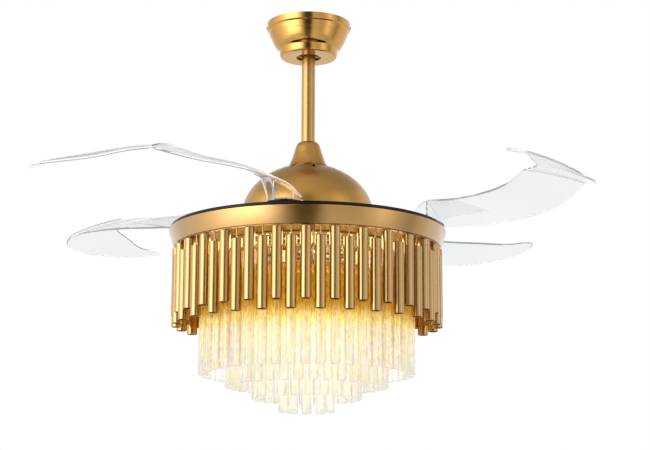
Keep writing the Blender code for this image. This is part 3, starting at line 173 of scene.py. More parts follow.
# Blades: the edges' points are shares of reach and rise in the blade's own frame
BLADE_REACH = 0.42
BLADE_RISE = 0.070
BLADE_THICKNESS = 0.0035
BLADE_CAMBER_SHARE = 0.032
CREASE_POINT = 4
PANEL_STATIONS = 31
BLADE_STATIONS = 2 * PANEL_STATIONS - 1
BLADE_STRIPS = 10
CREASE_HEIGHT = 0.0012
TIP_STATIONS = 6
TIP_END_SHARE = 0.05
RIM_BULGE_SHARE = 0.3
FOOT_RADIUS = 0.031
FOOT_THICKNESS = 0.003
RIB_THICKNESS = 0.003
RIB_START_SHARE = 0.30
RIB_END_SHARE = 0.97
HOOD_WALL = 0.002
HOOD_START = math.radians(205)
HOOD_END = math.radians(335)
HOOD_EDGE_REACH_SHARE = 0.12
HOOD_REACH_SHARE = 0.15
HOOD_CORNER_SHARE = 0.98
HOOD_SPREAD_SHARE = 0.62
HOOD_FLARE_SHARE = 0.25
HOOD_RISE_SHARE = 0.75
HOOD_COLUMNS = 24
HOOD_ROWS = 12
OUTER_EDGE_SHARES = (
    (0.07, 0.08, 0.0), (0.31, 0.06, 0.04), (0.50, -0.06, 0.12), (0.61, -0.23, 0.23), (0.675, -0.37, 0.41),
    (0.72, -0.455, 0.29), (0.69, -0.60, 0.21), (0.59, -0.80, 0.29), (0.45, -0.945, 0.44),
)
INNER_EDGE_SHARES = (
    (0.01, -0.05, 0.54), (0.13, -0.09, 0.50), (0.25, -0.135, 0.56), (0.35, -0.235, 0.62),
    (0.43, -0.345, 0.80), (0.49, -0.49, 0.70), (0.48, -0.66, 0.61), (0.46, -0.82, 0.52),
    (0.36, -0.91, 0.50),
)

# Lamp body
BAND_WALL = 0.0015
BAND_LIP = 0.015
BAND_TAPER = 0.009
BAND_EDGE = 0.0006
TUBE_RADIUS = 0.0095
TUBE_WALL = 0.0009
TUBE_LENGTH = 0.1217
TUBE_PAIRS = 30
TUBE_HANG = 0.002
TUBE_STAGGER = 0.016
TUBE_EDGE = 0.0005
TUBE_OVERHANG = 0.0015
HOOK_RADIUS = 0.0014
HOOK_HEAD_RADIUS = 0.0032
HOOK_HEAD_HEIGHT = 0.0012
HOOK_SINK = 0.0001
HOOK_RING_WIDTH = 0.010
HOOK_RING_THICKNESS = 0.001
HOOK_RING_ROUNDING = 0.0003
TIER_COUNTS = (46, 34, 22, 10)
TIER_TURN_SHARES = (0.0, 0.5, 0.25, 0.0)
TIER_CLEARANCE = 0.0309
INNER_TIER_SHARE = 0.2304
CRYSTAL_RADIUS = 0.009
CRYSTAL_LENGTH = 0.200
CRYSTAL_FLUTES = 10
CRYSTAL_FLUTE_DEPTH = 0.0007
CRYSTAL_CHAMFER = 0.0012
CRYSTAL_TURN = 0.37
TIER_RING_WIDTH = 0.0205
TIER_RING_THICKNESS = 0.0015
STANDOFF_RADIUS = 0.002
STANDOFF_COUNT = 4
STANDOFF_PHASE = math.radians(4)
NUT_RADIUS = 0.0042
NUT_HEIGHT = 0.003
BOARD_WIDTH = 0.018
BOARD_ARM_WIDTH = 0.010
BOARD_ARM_COUNT = 4
CHIP_SIZE = 0.0035
CHIP_HEIGHT = 0.0008
CHIP_PITCH = 0.021
CHIP_GAP = 0.00005

# Metals, glass and plastic
LACQUER_ROUGHNESS = 0.12
CRYSTAL_CLARITY = 0.88
CRYSTAL_IOR = 1.42
PLASTIC_IOR = 1.22
GOLD = (0.43, 0.215, 0.022)
SATIN_GOLD = (0.50, 0.268, 0.066)
POLISHED_GOLD = (0.56, 0.31, 0.085)
TUBE_GOLD = (0.46, 0.258, 0.058)
# Paler gold for the painted highlight on the dome's crown bead
CROWN_HIGHLIGHT_GOLD = (0.80, 0.62, 0.36)
CHIP_COLOUR = (0.95, 0.80, 0.35)
CHIP_GLOW = (1.0, 0.74, 0.26)
CHIP_STRENGTH = 1.6

# Crystal colours by height, from the lowest rod's end to the outer rods' tops, are painted lamp light: golden near
# the lamp, pale below
CRYSTAL_PAINTED_LIGHT_TINTS = (
    (0.0, (0.985, 0.98, 0.98)), (0.49, (0.985, 0.98, 0.975)),
    (0.57, (0.97, 0.92, 0.66)), (0.66, (0.80, 0.52, 0.12)),
)
CRYSTAL_LINE_PAINTED_LIGHT_TINTS = (
    (0.0, (0.95, 0.89, 0.64)), (0.49, (0.94, 0.88, 0.58)),
    (0.57, (0.86, 0.71, 0.27)), (0.66, (0.45, 0.26, 0.04)),
)
CRYSTAL_PALE_PAINTED_GLOWS = (
    (0.0, (0.100, 0.099, 0.107)), (0.49, (0.100, 0.098, 0.101)),
    (0.57, (0.150, 0.134, 0.046)), (0.66, (0.075, 0.052, 0.004)),
)
CRYSTAL_GOLDEN_PAINTED_GLOWS = (
    (0.0, (0.080, 0.072, 0.020)), (0.49, (0.080, 0.072, 0.018)),
    (0.57, (0.070, 0.052, 0.003)), (0.66, (0.020, 0.012, 0.001)),
)

# Light tent: azimuths in degrees from the camera's side, each with the level of light seen there
TENT_RADIUS = 1.9
TENT_LEVEL = -0.3
TENT_SEGMENTS = 48
TENT_RINGS = 24
TENT_LEVELS = (
    (-180, 1.0), (-120, 0.95), (-100, 1.2), (-85, 1.5), (-75, 2.0), (-60, 3.5), (-45, 4.1), (-33, 3.7),
    (-25, 1.9), (-15, 0.5), (-8, 0.10), (0, 0.06), (7, 0.10), (11, 0.55), (16, 0.95), (24, 0.86),
    (40, 0.80), (50, 1.1), (60, 1.7), (68, 1.25), (78, 0.85), (90, 0.50), (100, 0.85), (115, 1.05),
    (180, 1.0),
)
TENT_TOP_LEVELS = (
    (-180, 0.45), (-110, 0.60), (-60, 0.72), (-20, 0.88), (0, 0.84), (60, 0.62), (120, 0.50), (180, 0.45),
)
TENT_LOW_LEVELS = (
    (-180, 1.0), (-90, 1.0), (-60, 1.0), (-45, 1.15), (-25, 1.15), (-15, 0.5), (-6, 0.15), (4, 0.15),
    (10, 0.6), (20, 1.1), (30, 0.95), (60, 0.85), (90, 0.8), (180, 1.0),
)
TENT_LOW_START = math.radians(-32)
TENT_LOW_END = math.radians(-14)
TENT_TOP_START = math.radians(25)
TENT_TOP_END = math.radians(45)
TENT_MOST = 8

# Lights: place, width and height, power
KEY_LIGHT = ((-2.6, -2.0, -0.2), (1.4, 2.6), 26)
FILL_LIGHT = ((2.6, -1.2, -0.3), (0.7, 2.2), 8)
LIGHT_AIM = (0, 0, -0.4)
LAMP_POWER = 1.2
LAMP_COLOUR = (1.0, 0.92, 0.62)
WORLD_LIGHT = 0.75
FLOOR_SIZE = 14
FLOOR_LEVEL = -2.4

# Places read from the frame
canopy_low, canopy_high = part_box("canopy")
rod_low, rod_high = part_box("downrod")
cone_low, cone_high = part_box("coupling_cover")
dome_low, dome_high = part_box("motor_dome")
disc_low, disc_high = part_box("carrier_disc")
band_low, band_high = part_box("trim_band")
skirt_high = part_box("tube_skirt")[1]
board_low, board_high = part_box("led_board")
plate_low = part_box("lamp_plate")[0]
hub_low, hub_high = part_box("blade_hub_1")
blade_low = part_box("blade_1")[0]
tier_boxes = [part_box(f"crystal_tier_{tier + 1}") for tier in range(len(TIER_COUNTS))]
joints = {joint["name"]: joint for joint in frame["joints"]}

BALL_LEVEL = joints["hanger_tilt_x"]["pos_m"][2]
BAND_TOP = band_high.z
BAND_TOP_RADIUS = band_high.x
BAND_BOTTOM_RADIUS = BAND_TOP_RADIUS - BAND_TAPER
TUBE_PLACE = BAND_BOTTOM_RADIUS + TUBE_OVERHANG - TUBE_RADIUS
OUTER_TIER_RADIUS = TUBE_PLACE - TUBE_RADIUS - TIER_CLEARANCE - CRYSTAL_RADIUS
TIER_STEP = OUTER_TIER_RADIUS * (1 - INNER_TIER_SHARE) / (len(TIER_COUNTS) - 1)


# Meshes

def linked(name, data):
    """An object that shows the data in the scene."""
    made = bpy.data.objects.new(name, data)
    bpy.context.scene.collection.objects.link(made)
    return made


def object_from(name, bm, material, crease=SHARP_ANGLE):
    bmesh.ops.recalc_face_normals(bm, faces=bm.faces)
    mesh = bpy.data.meshes.new(name)
    bm.to_mesh(mesh)
    bm.free()
    mesh.materials.append(material)
    mesh.shade_smooth()
    mesh.set_sharp_from_angle(angle=crease)
    return linked(name, mesh)


def section(inner, outer, low, high):
    """The corners of a ring's section as (radius, height), from the lower inner one."""
    return (inner, low), (outer, low), (outer, high), (inner, high)


def fillet(points, size, closed=False):
    """A polyline with its corners rounded, each by no more than a share of its shorter side."""
    count = len(points)
    rounded = []
    for index, point in enumerate(points):
        if not closed and index in (0, count - 1):
            rounded.append(point)
            continue
        here = Vector(point)
        before = Vector(points[index - 1]) - here
        after = Vector(points[(index + 1) % count]) - here
        reach = min(size, before.length * FILLET_REACH_SHARE, after.length * FILLET_REACH_SHARE)
        start = here + before.normalized() * reach
        end = here + after.normalized() * reach
        for step in range(FILLET_STEPS + 1):
            t = step / FILLET_STEPS
            rounded.append(tuple((1 - t) ** 2 * start + 2 * t * (1 - t) * here + t * t * end))
    return rounded


def add_turned(bm, outline, sides, matrix=Matrix.Identity(4), closed=True):
    """An outline of (radius, height) points swept round Z. Ends on the axis are closed by fans."""
    columns = []
    poles = {}
    for step in range(sides):
        angle = FULL_TURN * step / sides
        column = []
        for index, (radius, height) in enumerate(outline):
            if radius > TINY:
                place = Vector((radius * math.cos(angle), radius * math.sin(angle), height))
                column.append(bm.verts.new(matrix @ place))
            else:
                if index not in poles:
                    poles[index] = bm.verts.new(matrix @ Vector((0, 0, height)))
                column.append(poles[index])
        columns.append(column)
    last = len(outline) if closed else len(outline) - 1
    for step, here in enumerate(columns):
        there = columns[(step + 1) % sides]
        for index in range(last):
            after = (index + 1) % len(outline)
            corners = list(dict.fromkeys((here[index], there[index], there[after], here[after])))
            if len(corners) > 2:
                bm.faces.new(corners)


def lathe(name, outline, sides, material, crease=SHARP_ANGLE):
    bm = bmesh.new()
    add_turned(bm, outline, sides)
    return object_from(name, bm, material, crease)


def offset(points, wall):
    """An open (radius, height) line moved square to itself by the wall."""
    moved = []
    for index, point in enumerate(points):
        normals = []
        for first, second in ((index - 1, index), (index, index + 1)):
            if first >= 0 and second < len(points):
                along = Vector(points[second]) - Vector(points[first])
                if along.length > TINY:
                    normals.append(Vector((-along.y, along.x)).normalized())
        total = sum(normals, Vector((0, 0)))
        scale = len(normals) * wall / total.length_squared
        moved.append((point[0] + total.x * scale, point[1] + total.y * scale))
    return moved


def smooth_line(points, count):
    """A curve through the points, read at equal steps of its parameter."""
    vectors = [Vector(point) for point in points]
    ends = [2 * vectors[0] - vectors[1]] + vectors + [2 * vectors[-1] - vectors[-2]]
    line = []
    for step in range(count):
        place = step * (len(points) - 1) / (count - 1)
        index = min(int(place), len(points) - 2)
        t = place - index
        a, b, c, d = ends[index:index + 4]
        slope = (c - a) * t
        bend = (2 * a - 5 * b + 4 * c - d) * t ** 2
        twist = (3 * b - a - 3 * c + d) * t ** 3
        line.append((2 * b + slope + bend + twist) / 2)
    return line


def add_box(bm, low, high, matrix):
    corners = [bm.verts.new(matrix @ Vector((x, y, z)))
               for x in (low[0], high[0]) for y in (low[1], high[1]) for z in (low[2], high[2])]
    for face in ((0, 1, 3, 2), (4, 6, 7, 5), (0, 4, 5, 1), (2, 3, 7, 6), (0, 2, 6, 4), (1, 5, 7, 3)):
        bm.faces.new([corners[index] for index in face])


def join_loops(bm, loops, slot=0):
    """Faces between each closed loop of vertices and the next, in the given slot's material."""
    for here, there in zip(loops, loops[1:]):
        for index, vertex in enumerate(here):
            after = (index + 1) % len(here)
            made = bm.faces.new((vertex, here[after], there[after], there[index]))
            made.material_index = slot


def add_loft(bm, loops):
    """Loops of vertices joined in order, with a face over the first and the last."""
    join_loops(bm, loops)
    bm.faces.new(loops[0])
    bm.faces.new(loops[-1])


def turned_about_z(angle, radius=0.0):
    return Matrix.Rotation(angle, 4, "Z") @ Matrix.Translation((radius, 0, 0))


def places_round(count, start=0.0, radius=0.0):
    """Equally spaced places round Z, the first at the start's angle."""
    return [turned_about_z(start + FULL_TURN * index / count, radius) for index in range(count)]


def cut(piece, tool):
    """Cuts the tool's mesh from the piece and drops the tool."""
    change = piece.modifiers.new("cut", "BOOLEAN")
    change.operation = "DIFFERENCE"
    change.solver = "EXACT"
    change.object = tool
    graph = bpy.context.evaluated_depsgraph_get()
    mesh = bpy.data.meshes.new_from_object(piece.evaluated_get(graph))
    piece.modifiers.clear()
    piece.data = mesh
    bpy.data.objects.remove(tool)
    return piece


# Materials

class Nodes:
    """The node tree of a material or world, with helpers that make and join its nodes."""

    def __init__(self, owner, empty=False):
        owner.use_nodes = True
        self.tree = owner.node_tree
        if empty:
            self.tree.nodes.clear()

    def node(self, kind, **settings):
        made = self.tree.nodes.new(kind)
        for key, value in settings.items():
            setattr(made, key, value)
        return made

    def link(self, source, target):
        self.tree.links.new(source, target)

    def joined(self, kind, result, **sources):
        """The named result of a new node that takes the sources."""
        made = self.node(kind)
        for socket, source in sources.items():
            self.link(source, made.inputs[socket])
        return made.outputs[result]

    def calculated(self, operation, first, second):
        """The result of two values, each a socket or a number."""
        made = self.node("ShaderNodeMath", operation=operation)
        for value, socket in zip((first, second), made.inputs):
            if isinstance(value, (int, float)):
                socket.default_value = value
            else:
                self.link(value, socket)
        return made.outputs["Value"]

    def ranged(self, value, low, high, start=0.0, end=1.0, kind="LINEAR"):
        spread = self.node("ShaderNodeMapRange", interpolation_type=kind)
        spread.inputs["From Min"].default_value = start
        spread.inputs["From Max"].default_value = end
        spread.inputs["To Min"].default_value = low
        spread.inputs["To Max"].default_value = high
        self.link(value, spread.inputs["Value"])
        return spread.outputs["Result"]

    def ramp(self, value, stops):
        ramp = self.node("ShaderNodeValToRGB")
        elements = ramp.color_ramp.elements
        while len(elements) < len(stops):
            elements.new(0.5)
        for element, (place, colour) in zip(elements, stops):
            element.position = place
            element.color = (*colour, 1)
        self.link(value, ramp.inputs["Fac"])
        return ramp.outputs["Color"]

    def separated(self):
        """The x, y and z of places in the object's own frame."""
        place = self.node("ShaderNodeTexCoord")
        split = self.node("ShaderNodeSeparateXYZ")
        self.link(place.outputs["Object"], split.inputs["Vector"])
        return [split.outputs[axis] for axis in "XYZ"]


class Finish(Nodes):
    """A Principled material with helpers for the detail that varies over the surface."""

    def __init__(self, name, colour, roughness, metallic=0.0, **inputs):
        self.material = bpy.data.materials.new(name)
        super().__init__(self.material)
        self.shader = self.tree.nodes["Principled BSDF"]
        self.colour = colour
        self.roughness = roughness
        inputs.update(Base_Color=(*colour, 1), Roughness=roughness, Metallic=metallic)
        for key, value in inputs.items():
            self.shader.inputs[key.replace("_", " ")].default_value = value

    def coordinates(self, scale):
        """Places in the object's own frame, scaled evenly or along each axis."""
        place = self.node("ShaderNodeTexCoord")
        mapping = self.node("ShaderNodeMapping")
        mapping.inputs["Scale"].default_value = scale if isinstance(scale, tuple) else (scale,) * 3
        self.link(place.outputs["Object"], mapping.inputs["Vector"])
        return mapping.outputs["Vector"]

    def noise(self, scale, detail=3.0):
        texture = self.node("ShaderNodeTexNoise")
        texture.inputs["Scale"].default_value = 1.0
        texture.inputs["Detail"].default_value = detail
        self.link(self.coordinates(scale), texture.inputs["Vector"])
        return texture.outputs["Fac"]

    def shaded(self, value, spread):
        """The base colour a little darker and lighter with the value."""
        dark = tuple(channel * (1 - spread) for channel in self.colour)
        light = tuple(min(1.0, channel * (1 + spread)) for channel in self.colour)
        self.link(self.ramp(value, ((0.3, dark), (0.7, light))), self.shader.inputs["Base Color"])
        return self

    def worn(self, value, spread):
        self.link(self.ranged(value, self.roughness - spread, self.roughness + spread, 0.3, 0.7),
                  self.shader.inputs["Roughness"])
        return self

    def bumped(self, value, strength, depth):
        bump = self.node("ShaderNodeBump")
        bump.inputs["Strength"].default_value = strength
        bump.inputs["Distance"].default_value = depth
        self.link(value, bump.inputs["Height"])
        self.link(bump.outputs["Normal"], self.shader.inputs["Normal"])
        return self


def brushed(name, colour, roughness, scale, spread=0.06, coat=1.0, lacquer=1.5):
    """Lacquered metal with fine parallel brush lines, across the axis with the large scale."""
    finish = Finish(name, colour, roughness, metallic=1.0, Coat_Weight=coat, Coat_IOR=lacquer,
                    Coat_Roughness=LACQUER_ROUGHNESS)
    lines = finish.noise(scale, detail=2.0)
    cloud = finish.noise(14)
    return finish.shaded(cloud, spread).worn(lines, 0.05).bumped(lines, 0.12, 0.00005).material


def polished(name, colour, roughness):
    finish = Finish(name, colour, roughness, metallic=1.0)
    cloud = finish.noise(22)
    fine = finish.noise(420, detail=2.0)
    return finish.shaded(cloud, 0.04).worn(fine, 0.03).bumped(cloud, 0.06, 0.0002).material


def moulded(name, colour, roughness, grain=600, **inputs):
    """Plastic, rubber or lacquer with a fine grain."""
    finish = Finish(name, colour, roughness, **inputs)
    fine = finish.noise(grain, detail=2.0)
    cloud = finish.noise(30)
    return finish.shaded(cloud, 0.05).worn(fine, 0.04).bumped(fine, 0.08, 0.00004).material


def see_through(finish):
    """Lets light pass straight through the surface for shadows, as a thin clear wall does."""
    paths = finish.node("ShaderNodeLightPath")
    clear = finish.node("ShaderNodeBsdfTransparent")
    mixed = finish.node("ShaderNodeMixShader")
    output = finish.tree.nodes["Material Output"]
    finish.link(paths.outputs["Is Shadow Ray"], mixed.inputs["Fac"])
    finish.link(finish.shader.outputs["BSDF"], mixed.inputs[1])
    finish.link(clear.outputs["BSDF"], mixed.inputs[2])
    finish.link(mixed.outputs["Shader"], output.inputs["Surface"])


def clear_plastic(name, colour, roughness, clarity, glow):
    """Clear moulded plastic. Its glow stands for the light that the sheet carries inside."""
    finish = Finish(name, colour, roughness, Transmission_Weight=clarity, IOR=PLASTIC_IOR,
                    Emission_Color=(*colour, 1), Emission_Strength=glow)
    finish.shaded(finish.noise(9), 0.02).worn(finish.noise(240), 0.02)
    see_through(finish)
    return finish.material


def crystal_glass():
    """Clear glass with fine upright lines. Its tints, the yellow of its lines and its glow are painted lamp light:
    golden near the lamp above, pale below.
    """
    finish = Finish("crystal", (0.98, 0.96, 0.93), 0.05, Transmission_Weight=CRYSTAL_CLARITY,
                    IOR=CRYSTAL_IOR)
    streaks = finish.noise((520, 520, 80), detail=4.0)
    glint_noise = finish.noise((260, 260, 120), detail=2.0)
    finish.worn(streaks, 0.03).bumped(streaks, 0.5, 0.0006)
    # Painted lamp light: tints and glows ramp from pale at the lowest rod's end to golden at the outer rods' tops,
    # next to the lamp
    height = finish.separated()[2]
    share = finish.ranged(height, 0.0, 1.0, tier_boxes[-1][0].z, tier_boxes[0][0].z + CRYSTAL_LENGTH)
    lines = finish.ranged(streaks, 0.0, 1.0, 0.52, 0.62)
    for pale, golden, socket in ((CRYSTAL_PAINTED_LIGHT_TINTS, CRYSTAL_LINE_PAINTED_LIGHT_TINTS, "Base Color"),
                                 (CRYSTAL_PALE_PAINTED_GLOWS, CRYSTAL_GOLDEN_PAINTED_GLOWS, "Emission Color")):
        mixed = finish.joined("ShaderNodeMixRGB", "Color", Fac=lines, Color1=finish.ramp(share, pale),
                              Color2=finish.ramp(share, golden))
        finish.link(mixed, finish.shader.inputs[socket])
    # Painted sparkles: the glow grows stronger and weaker in random specks, as glints in the glass do
    painted_sparkle = finish.ranged(glint_noise, 0.5, 1.5, 0.35, 0.65)
    finish.link(painted_sparkle, finish.shader.inputs["Emission Strength"])
    see_through(finish)
    return finish.material


def lamp_chip():
    finish = Finish("lamp_chip", CHIP_COLOUR, 0.4, Emission_Color=(*CHIP_GLOW, 1),
                    Emission_Strength=CHIP_STRENGTH)
    return finish.shaded(finish.noise(900), 0.08).material


def layered(name, colour, roughness, metallic, scale, spread, strength, depth, **wave):
    """Metal in fine lines, as wound wire and stacked sheets show them."""
    finish = Finish(name, colour, roughness, metallic=metallic)
    texture = finish.node("ShaderNodeTexWave", **wave)
    texture.inputs["Scale"].default_value = 1.0
    finish.link(finish.coordinates(scale), texture.inputs["Vector"])
    lines = texture.outputs["Fac"]
    return finish.shaded(lines, spread).bumped(lines, strength, depth).material


gold = brushed("brushed_gold", GOLD, 0.23, (0, 0, 1600), lacquer=1.8)
dome_gold = brushed("satin_gold", SATIN_GOLD, 0.34, (60, 60, 900), spread=0.03, coat=0.1)
rod_gold = brushed("rod_gold", TUBE_GOLD, 0.38, (700, 700, 6))
tube_gold = brushed("tube_gold", TUBE_GOLD, 0.26, (900, 900, 8), lacquer=1.7)
canopy_gold = polished("polished_gold", POLISHED_GOLD, 0.13)
# Paler than the other golds: a painted highlight for the dome's crown lip
crown_highlight_finish = polished("crown_painted_highlight", CROWN_HIGHLIGHT_GOLD, 0.2)
steel = brushed("zinc_steel", (0.55, 0.55, 0.54), 0.36, (500, 500, 40))
black = moulded("gloss_black", (0.010, 0.008, 0.006), 0.22, Specular_IOR_Level=0.18)
nylon = moulded("white_nylon", (0.74, 0.74, 0.71), 0.45)
rubber = moulded("white_rubber", (0.70, 0.69, 0.66), 0.62, grain=900)
ferrite = moulded("ferrite", (0.055, 0.055, 0.06), 0.55, grain=300)
lamp_board = moulded("lamp_board", (0.60, 0.42, 0.12), 0.35)
sheet_plastic = clear_plastic("clear_plastic", (0.87, 0.875, 0.885), 0.03, 1.0, 0.01)
edge_plastic = clear_plastic("clear_plastic_edge", (0.78, 0.78, 0.81), 0.12, 0.75, 0.22)
crystal = crystal_glass()
chip = lamp_chip()
copper = layered("winding_copper", (0.58, 0.25, 0.10), 0.38, 0.85, 420, 0.25, 0.6, 0.0004,
                 wave_type="RINGS", rings_direction="Z")
iron = layered("laminated_iron", (0.30, 0.30, 0.31), 0.5, 0.9, (0, 0, 600), 0.2, 0.5, 0.0002,
               bands_direction="Z")


# Ceiling hanger and canopy

def canopy_piece():
    radius = canopy_high.x
    height = -canopy_low.z
    line = [(radius * r, -height * h) for r, h in CANOPY_OUTLINE_SHARES]
    line.append((CANOPY_HOLE_RADIUS + SHARP_ROUNDING, -height))
    line.append((CANOPY_HOLE_RADIUS, -height + CANOPY_WALL / 2))
    line = fillet(line, CANOPY_ROUNDING)
    inner = offset(line, -CANOPY_WALL)
    inner[0] = (radius - CANOPY_WALL, 0)
    return lathe("canopy_shell", line + inner[::-1], FINE_SIDES, canopy_gold)


def ball_piece():
    bore = rod_high.x + GAP
    low = math.asin(bore / BALL_RADIUS)
    high = math.pi - math.acos(BALL_FLAT / BALL_RADIUS)
    outline = []
    for step in range(BALL_STEPS + 1):
        angle = low + (high - low) * step / BALL_STEPS
        outline.append((BALL_RADIUS * math.sin(angle), BALL_LEVEL - BALL_RADIUS * math.cos(angle)))
    outline.append((bore, BALL_LEVEL + BALL_FLAT))
    return lathe("ball", outline, BALL_SIDES, rubber)


def liner_piece():
    inner = BALL_RADIUS + GAP
    outer = inner + LINER_THICKNESS
    spread = LINER_HIGH_ANGLE - LINER_LOW_ANGLE
    angles = [LINER_LOW_ANGLE + spread * step / LINER_STEPS for step in range(LINER_STEPS + 1)]
    outline = [(outer * math.sin(a), BALL_LEVEL - outer * math.cos(a)) for a in angles]
    outline += [(inner * math.sin(a), BALL_LEVEL - inner * math.cos(a)) for a in reversed(angles)]
    return lathe("liner", outline, BALL_SIDES, rubber)


# Downrod, cover and dome

def rod_piece():
    outline = section(rod_high.x - ROD_WALL, rod_high.x, rod_low.z, rod_high.z)
    piece = lathe("rod", fillet(outline, ROD_ROUNDING, closed=True), ROD_SIDES, rod_gold)
    hole = section(0, PIN_HOLE_RADIUS, -PIN_HOLE_REACH, PIN_HOLE_REACH)
    bm = bmesh.new()
    for level in (BALL_LEVEL, (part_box("yoke_bolt")[0].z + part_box("yoke_bolt")[1].z) / 2):
        across = Matrix.Translation((0, 0, level)) @ Matrix.Rotation(math.pi / 2, 4, "Y")
        add_turned(bm, hole, SMALL_SIDES, across, closed=False)
    return cut(piece, object_from("rod_holes", bm, rod_gold))


def cover_piece():
    height = cone_high.z - cone_low.z
    radius = cone_high.x
    line = [(radius * r, cone_low.z + height * h) for r, h in CONE_OUTLINE_SHARES]
    line[-1] = (rod_high.x + GAP, cone_high.z)
    line = fillet(line[::-1], CONE_ROUNDING)
    inner = offset(line, -CONE_WALL)
    inner[0] = (rod_high.x + GAP, cone_high.z - CONE_WALL)
    return lathe("yoke_cover", line + inner[::-1], RING_SIDES, dome_gold)


def dome_piece():
    radius = dome_high.x
    centre = BAND_TOP + DOME_CENTRE_LIFT
    first = math.acos(DOME_CROWN_RADIUS / radius)
    line = [(DOME_HOLE_RADIUS, dome_high.z)]
    for step in range(DOME_RINGS + 1):
        angle = first * (1 - step / DOME_RINGS)
        line.append((radius * math.cos(angle), centre + DOME_RISE * math.sin(angle)))
    line.append((radius, dome_low.z))
    inner = offset(line, -DOME_WALL)
    inner[0] = (DOME_HOLE_RADIUS, dome_high.z - DOME_WALL)
    inner[-1] = (radius - DOME_WALL, dome_low.z)
    piece = lathe("dome_shell", line + inner[::-1], DOME_SIDES, dome_gold)
    bm = bmesh.new()
    half = VENT_WIDTH / 2
    near, far = VENT_START + half, VENT_START + VENT_LENGTH - half
    for turn in places_round(VENT_COUNT, VENT_PHASE - math.pi / 2):
        outline = []
        for end, start in ((near, math.pi / 2), (far, -math.pi / 2)):
            for step in range(SLOT_END_STEPS + 1):
                angle = start + math.pi * step / SLOT_END_STEPS
                outline.append((end + half * math.cos(angle), half * math.sin(angle)))
        add_loft(bm, [[bm.verts.new(turn @ Vector((x, y, dome_high.z + shift))) for x, y in outline]
                      for shift in (-VENT_CUT_BELOW, VENT_CUT_ABOVE)])
    return cut(piece, object_from("vents", bm, dome_gold))


def crown_bead():
    """The thin bead where the dome's flat crown starts. Its paler gold is a painted highlight along the crown's
    lip.
    """
    centre = dome_high.z + CROWN_BEAD_RADIUS / 2
    outline = []
    for step in range(BEAD_SIDES):
        angle = FULL_TURN * step / BEAD_SIDES
        outline.append((DOME_CROWN_RADIUS + CROWN_BEAD_RADIUS * math.cos(angle),
                        centre + CROWN_BEAD_RADIUS * math.sin(angle)))
    return lathe("crown_bead", outline, FINE_SIDES, crown_highlight_finish, crease=math.pi)


# Carrier disc, hubs and screws

def disc_piece():
    low = disc_high.z - DISC_THICKNESS
    outline = section(DISC_HOLE_RADIUS, disc_high.x, low, disc_high.z)
    bm = bmesh.new()
    add_turned(bm, fillet(outline, DISC_EDGE, closed=True), BAND_SIDES)
    peg = (section(0, PEG_HEAD_RADIUS, disc_low.z, disc_low.z + PEG_HEAD_HEIGHT)[:3]
           + section(0, PEG_RADIUS, disc_low.z + PEG_HEAD_HEIGHT, low + PEG_SINK)[1:])
    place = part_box("sync_ring")[1].x - PEG_INSET
    for number in BLADE_NUMBERS:
        x, y, _ = joints[f"blade_fold_{number}"]["pos_m"]
        angle = math.atan2(y, x) + FULL_TURN / (2 * len(BLADE_NUMBERS))
        add_turned(bm, peg, SMALL_SIDES, turned_about_z(angle, place), closed=False)
    return object_from("black_disc", bm, black)


def hub_piece(name, x, y):
    top = hub_high.z
    bore_end = top - SCREW_BORE_DEPTH
    outline = (*section(0, PIVOT_SHAFT_RADIUS, hub_low.z, top - HUB_THICKNESS)[:3],
               *section(SCREW_BORE, HUB_RADIUS, top - HUB_THICKNESS, top)[1:],
               (SCREW_BORE, bore_end), (0, bore_end))
    bm = bmesh.new()
    add_turned(bm, fillet(outline, EDGE_ROUNDING), HUB_SIDES, Matrix.Translation((x, y, 0)), closed=False)
    return object_from(name, bm, black)


def cross_screw(name, matrix, head_radius, head_height, radius, length, material):
    """A round-headed screw along the matrix's Z with a cross in its head."""
    outline = [(0, -length), (radius * SCREW_POINT_SHARE, -length), (radius, -length + radius),
               (radius, 0), (head_radius, 0)]
    for step in range(SCREW_HEAD_STEPS + 1):
        angle = math.pi / 2 * step / SCREW_HEAD_STEPS
        across = head_radius * math.cos(angle) if step < SCREW_HEAD_STEPS else 0
        rise = SCREW_HEAD_SIDE_SHARE + (1 - SCREW_HEAD_SIDE_SHARE) * math.sin(angle)
        outline.append((across, head_height * rise))
    bm = bmesh.new()
    add_turned(bm, outline, SMALL_SIDES, matrix, closed=False)
    piece = object_from(name, bm, material)
    arm = head_radius * CROSS_REACH_SHARE
    slot = head_radius * CROSS_WIDTH_SHARE
    low = head_height * (1 - CROSS_DEPTH_SHARE)
    for x, y in ((arm, slot), (slot, arm)):
        bm = bmesh.new()
        add_box(bm, (-x, -y, low), (x, y, head_height * CROSS_TOP_SHARE), matrix)
        cut(piece, object_from("slot", bm, material))
    return piece


# Blades

def blade_lines():
    """The sheet's outer and inner edges, each two curves that meet at the crease."""
    size = (BLADE_REACH, BLADE_REACH, BLADE_RISE)
    lines = []
    for shares in (OUTER_EDGE_SHARES, INNER_EDGE_SHARES):
        points = [[share * length for share, length in zip(point, size)] for point in shares]
        root = smooth_line(points[:CREASE_POINT + 1], PANEL_STATIONS)
        tip = smooth_line(points[CREASE_POINT:], PANEL_STATIONS)
        lines.append(root + tip[1:])
    return lines


def sheet_point(first, second, share, depth_share):
    """A place in the sheet between two points of its edges, at a share of its thickness from below."""
    camber = BLADE_CAMBER_SHARE * (second - first).length
    lift = 4 * share * (1 - share) * camber + depth_share * BLADE_THICKNESS
    return first.lerp(second, share) + Vector((0, 0, lift))


def add_grid(bm, rows):
    for here, there in zip(rows, rows[1:]):
        for index in range(len(here) - 1):
            bm.faces.new((here[index], there[index], there[index + 1], here[index + 1]))


def grid_rim(rows):
    """The vertices round the border of a grid, in order."""
    rim = [row[0] for row in rows] + rows[-1][1:]
    rim += [row[-1] for row in rows[-2::-1]]
    return rim + rows[0][-2:0:-1]


